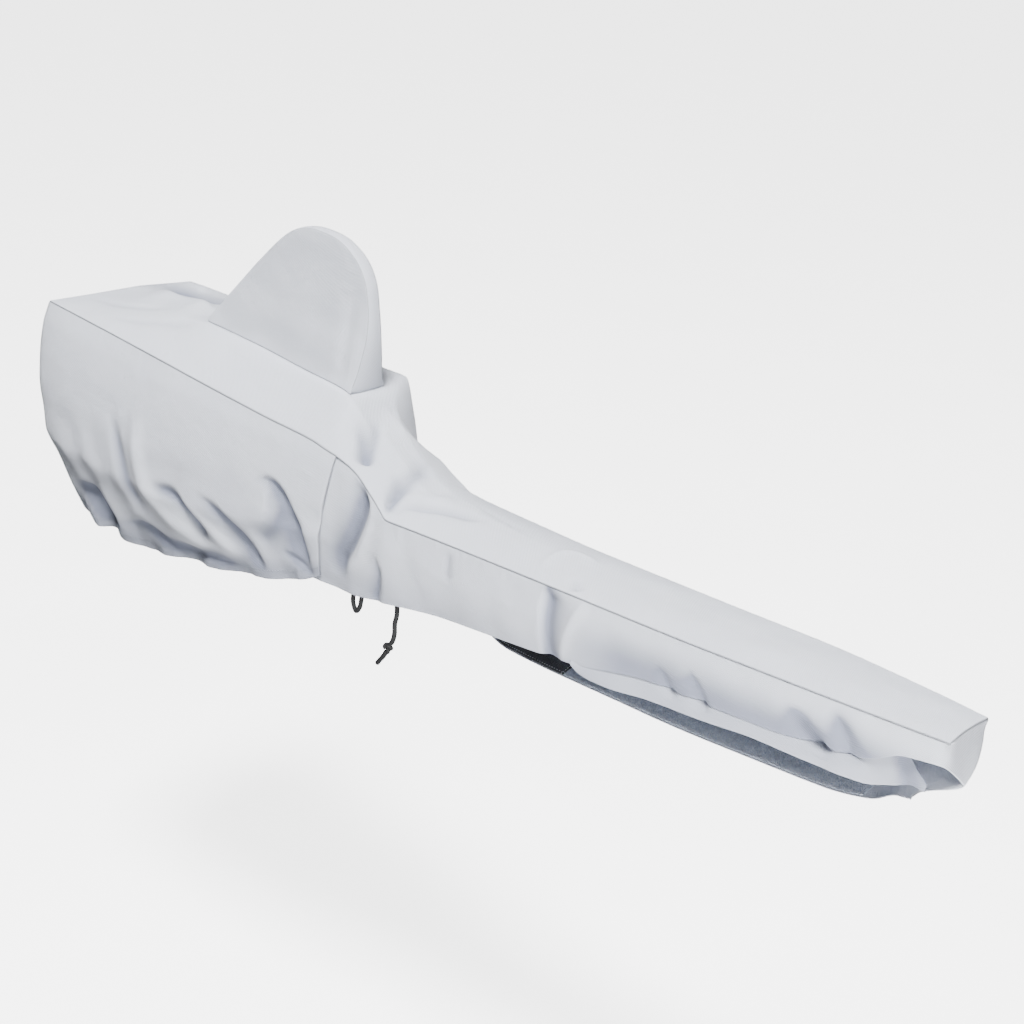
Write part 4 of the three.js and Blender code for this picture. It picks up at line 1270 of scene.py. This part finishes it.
def newTree(name, sockets):
    tree = bpy.data.node_groups.new(name, "GeometryNodeTree")
    tree.interface.new_socket("Geometry", in_out="OUTPUT", socket_type="NodeSocketGeometry")
    for label, kind in [("Geometry", "Geometry")] + sockets:
        tree.interface.new_socket(label, in_out="INPUT", socket_type="NodeSocket" + kind)
    return tree, addNode(tree, "NodeGroupInput").outputs


# Ends a tree in real geometry with one material.
def closeTree(tree, laid, material):
    real = addNode(tree, "GeometryNodeRealizeInstances", {"Geometry": laid})
    done = addNode(tree, "GeometryNodeSetMaterial", {"Geometry": real.outputs[0], "Material": material})
    addNode(tree, "NodeGroupOutput", {"Geometry": done.outputs[0]})
    return tree


def makeStitchTree():
    sizes = [("Spacing", "Float"), ("Length", "Float"), ("Width", "Float"), ("Material", "Material")]
    tree, given = newTree("stitches along a line", sizes)
    curve = addNode(tree, "GeometryNodeMeshToCurve", {"Mesh": given["Geometry"]})
    row = addNode(
        tree,
        "GeometryNodeResampleCurve",
        {"Curve": curve.outputs[0], "Length": given["Spacing"]},
        mode="LENGTH",
    )
    ball = addNode(tree, "GeometryNodeMeshUVSphere", {"Segments": 8, "Rings": 5, "Radius": 0.5})
    size = addNode(
        tree,
        "ShaderNodeCombineXYZ",
        {"X": given["Length"], "Y": given["Width"], "Z": given["Width"]},
    )
    thread = addNode(tree, "GeometryNodeTransform", {"Geometry": ball.outputs[0], "Scale": size.outputs[0]})
    tangent = addNode(tree, "GeometryNodeInputTangent")
    turn = addNode(tree, "FunctionNodeAlignRotationToVector", {"Vector": tangent.outputs[0]}, axis="X")
    laid = addNode(
        tree,
        "GeometryNodeInstanceOnPoints",
        {"Points": row.outputs[0], "Instance": thread.outputs[0], "Rotation": turn.outputs[0]},
    )
    return closeTree(tree, laid.outputs[0], given["Material"])


def makePileTree():
    sizes = [("Density", "Float"), ("Height", "Float"), ("Width", "Float")]
    sizes += [("Seed", "Int"), ("Material", "Material")]
    tree, given = newTree("pile on a tape", sizes)
    spread = addNode(
        tree,
        "GeometryNodeDistributePointsOnFaces",
        {"Mesh": given["Geometry"], "Density": given["Density"], "Seed": given["Seed"]},
    )
    fibre = addNode(
        tree,
        "GeometryNodeMeshCone",
        {"Vertices": 3, "Radius Top": 0.0, "Radius Bottom": given["Width"], "Depth": given["Height"]},
    )
    lean = addNode(
        tree,
        "FunctionNodeRandomValue",
        {0: (-0.7, -0.7, -3.0), 1: (0.7, 0.7, 3.0), "Seed": given["Seed"]},
        data_type="FLOAT_VECTOR",
    )
    tilt = addNode(tree, "FunctionNodeEulerToRotation", {0: lean.outputs[0]})
    turn = addNode(
        tree,
        "FunctionNodeRotateRotation",
        {"Rotation": spread.outputs["Rotation"], "Rotate By": tilt.outputs[0]},
    )
    laid = addNode(
        tree,
        "GeometryNodeInstanceOnPoints",
        {"Points": spread.outputs["Points"], "Instance": fibre.outputs["Mesh"], "Rotation": turn.outputs[0]},
    )
    return closeTree(tree, laid.outputs[0], given["Material"])


# Runs a tree on a mesh and keeps what it makes as a plain mesh.
def grown(name, mesh, tree, values):
    source = bpy.data.objects.new(name + "_source", mesh)
    bpy.context.collection.objects.link(source)
    modifier = source.modifiers.new("grown", "NODES")
    modifier.node_group = tree
    for item in tree.interface.items_tree:
        if item.in_out == "INPUT" and item.name in values:
            modifier[item.identifier] = values[item.name]
    ready = source.evaluated_get(bpy.context.evaluated_depsgraph_get())
    made = bpy.data.meshes.new_from_object(ready)
    source.modifiers.remove(modifier)
    bpy.data.objects.remove(source)
    made.name = name
    piece = bpy.data.objects.new(name, made)
    bpy.context.collection.objects.link(piece)
    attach(piece, "root")
    return piece


# The line on a laid sheet at a distance from its last column, or from its first, lifted off by half a thread.
def lineOnSheet(grid, distance, fromLast, lift):
    normal = unit(np.cross(np.gradient(grid, axis=0), np.gradient(grid, axis=1)))
    raised = grid + normal * lift
    if fromLast:
        raised = raised[:, ::-1]
    runs = rowRuns(raised)
    line = [[np.interp(distance, run, row[:, k]) for k in range(3)] for run, row in zip(runs, raised)]
    return np.array(line)


def makeStitches(name, lines, sizes, material):
    points = toFrame(np.concatenate(lines))
    edges = []
    first = 0
    for line in lines:
        edges += [(k, k + 1) for k in range(first, first + len(line) - 1)]
        first += len(line)
    mesh = bpy.data.meshes.new(name + "_lines")
    mesh.from_pydata([tuple(p) for p in points], edges, [])
    values = {
        "Spacing": sizes["spacing"] * 0.001,
        "Length": sizes["length"] * 0.001,
        "Width": sizes["width"] * 0.001,
        "Material": material,
    }
    return grown(name, mesh, stitchTree, values)


stitchTree = makeStitchTree()
pileTree = makePileTree()
hem = stitchSizes["hem"]
hemLine = lineOnSheet(laidGrids["head_wall_cloth"], hem["inset"], True, 0.1)
makeStitches("hem_stitches", [hemLine], hem, greyThread)
tape = stitchSizes["tape"]
for name, slotName, pileMaterial in (
    ("hook_tape_strip", "black_tape", hooks),
    ("loop_tape_strip", "grey_tape", pile),
):
    grid = laidGrids[name]
    across = -grid.transpose(1, 0, 2)
    lines = [lineOnSheet(grid, tape["inset"], fromLast, 0.1) for fromLast in (True, False)]
    lines += [-lineOnSheet(across, tape["inset"], fromLast, 0.1)[2:-2] for fromLast in (True, False)]
    makeStitches(name + "_stitches", lines, tape, paleThread)
    sizes = pileSizes[name]
    values = {
        "Density": sizes["density"],
        "Height": sizes["height"],
        "Width": sizes["width"],
        "Seed": sizes["seed"],
        "Material": pileMaterial,
    }
    flat = bpy.data.objects[name].data.copy()
    grown(name + "_pile", flat, pileTree, values)
print("stitching and pile")


# Soft light from above the near side, and weak fills from the sleeve's end, low in front and under its tip.
# Places, aims and sizes are in metres, powers in watts.
studioLights = {
    "key": {"place": (1.25, -1.75, 4.2), "aim": (0.45, 0, -0.05), "size": (1.0, 1.0), "power": 780},
    "right fill": {"place": (4.2, -1.3, 1.3), "aim": (0.6, 0, -0.1), "size": (1.3, 1.3), "power": 105},
    "low fill": {"place": (1.9, -3.4, 0.35), "aim": (0.8, 0, -0.16), "size": (1.2, 0.5), "power": 20},
    "under fill": {"place": (1.2, -0.4, -0.85), "aim": (0.97, 0.02, -0.16), "size": (0.4, 0.4), "power": 42},
}
studio = {
    "above": (1, 1, 1, 1),
    "below": (0.25, 0.28, 0.36, 1),
    "strength": 0.13,
    "floorSize": 40,
    "floorHeight": -0.9,
    "floorGlow": 3.6,
}


def areaLight(name, place, aim, size, power):
    data = bpy.data.lights.new(name, "AREA")
    data.shape = "RECTANGLE"
    data.size = size[0]
    data.size_y = size[1]
    data.energy = power
    light = bpy.data.objects.new(name, data)
    bpy.context.collection.objects.link(light)
    back = unit(np.array(place, float) - np.array(aim, float))
    side = unit(np.cross((0, 0, 1), back))
    up = np.cross(back, side)
    light.visible_camera = False
    light.matrix_world = placed(side, up, back, place)


for name, light in studioLights.items():
    areaLight(name, **light)

# The studio around: pale above and a dimmer, cooler pale below.
world = bpy.data.worlds.new("studio")
world.use_nodes = True
tree = world.node_tree
place = addNode(tree, "ShaderNodeTexCoord")
parts = addNode(tree, "ShaderNodeSeparateXYZ", {0: place.outputs["Generated"]})
height = ranged(tree, parts.outputs[2], (-0.5, 0.7))
sky = blend(tree, height, studio["below"], studio["above"])
tree.links.new(sky, tree.nodes["Background"].inputs["Color"])
tree.nodes["Background"].inputs["Strength"].default_value = studio["strength"]
bpy.context.scene.world = world

# The floor glows a little, so that it stays pale and even, and its glow doesn't light the cloth.
glow = paleFloor.node_tree.nodes["Principled BSDF"]
glow.inputs["Emission Color"].default_value = (1, 1, 1, 1)
glow.inputs["Emission Strength"].default_value = studio["floorGlow"]
half = studio["floorSize"]
corners = [(x * half, y * half, studio["floorHeight"]) for x, y in ((-1, -1), (1, -1), (1, 1), (-1, 1))]
floorPiece = linkMesh("floor", corners, [(0, 1, 2, 3)], paleFloor)
floorPiece.visible_diffuse = False
floorPiece.visible_glossy = False
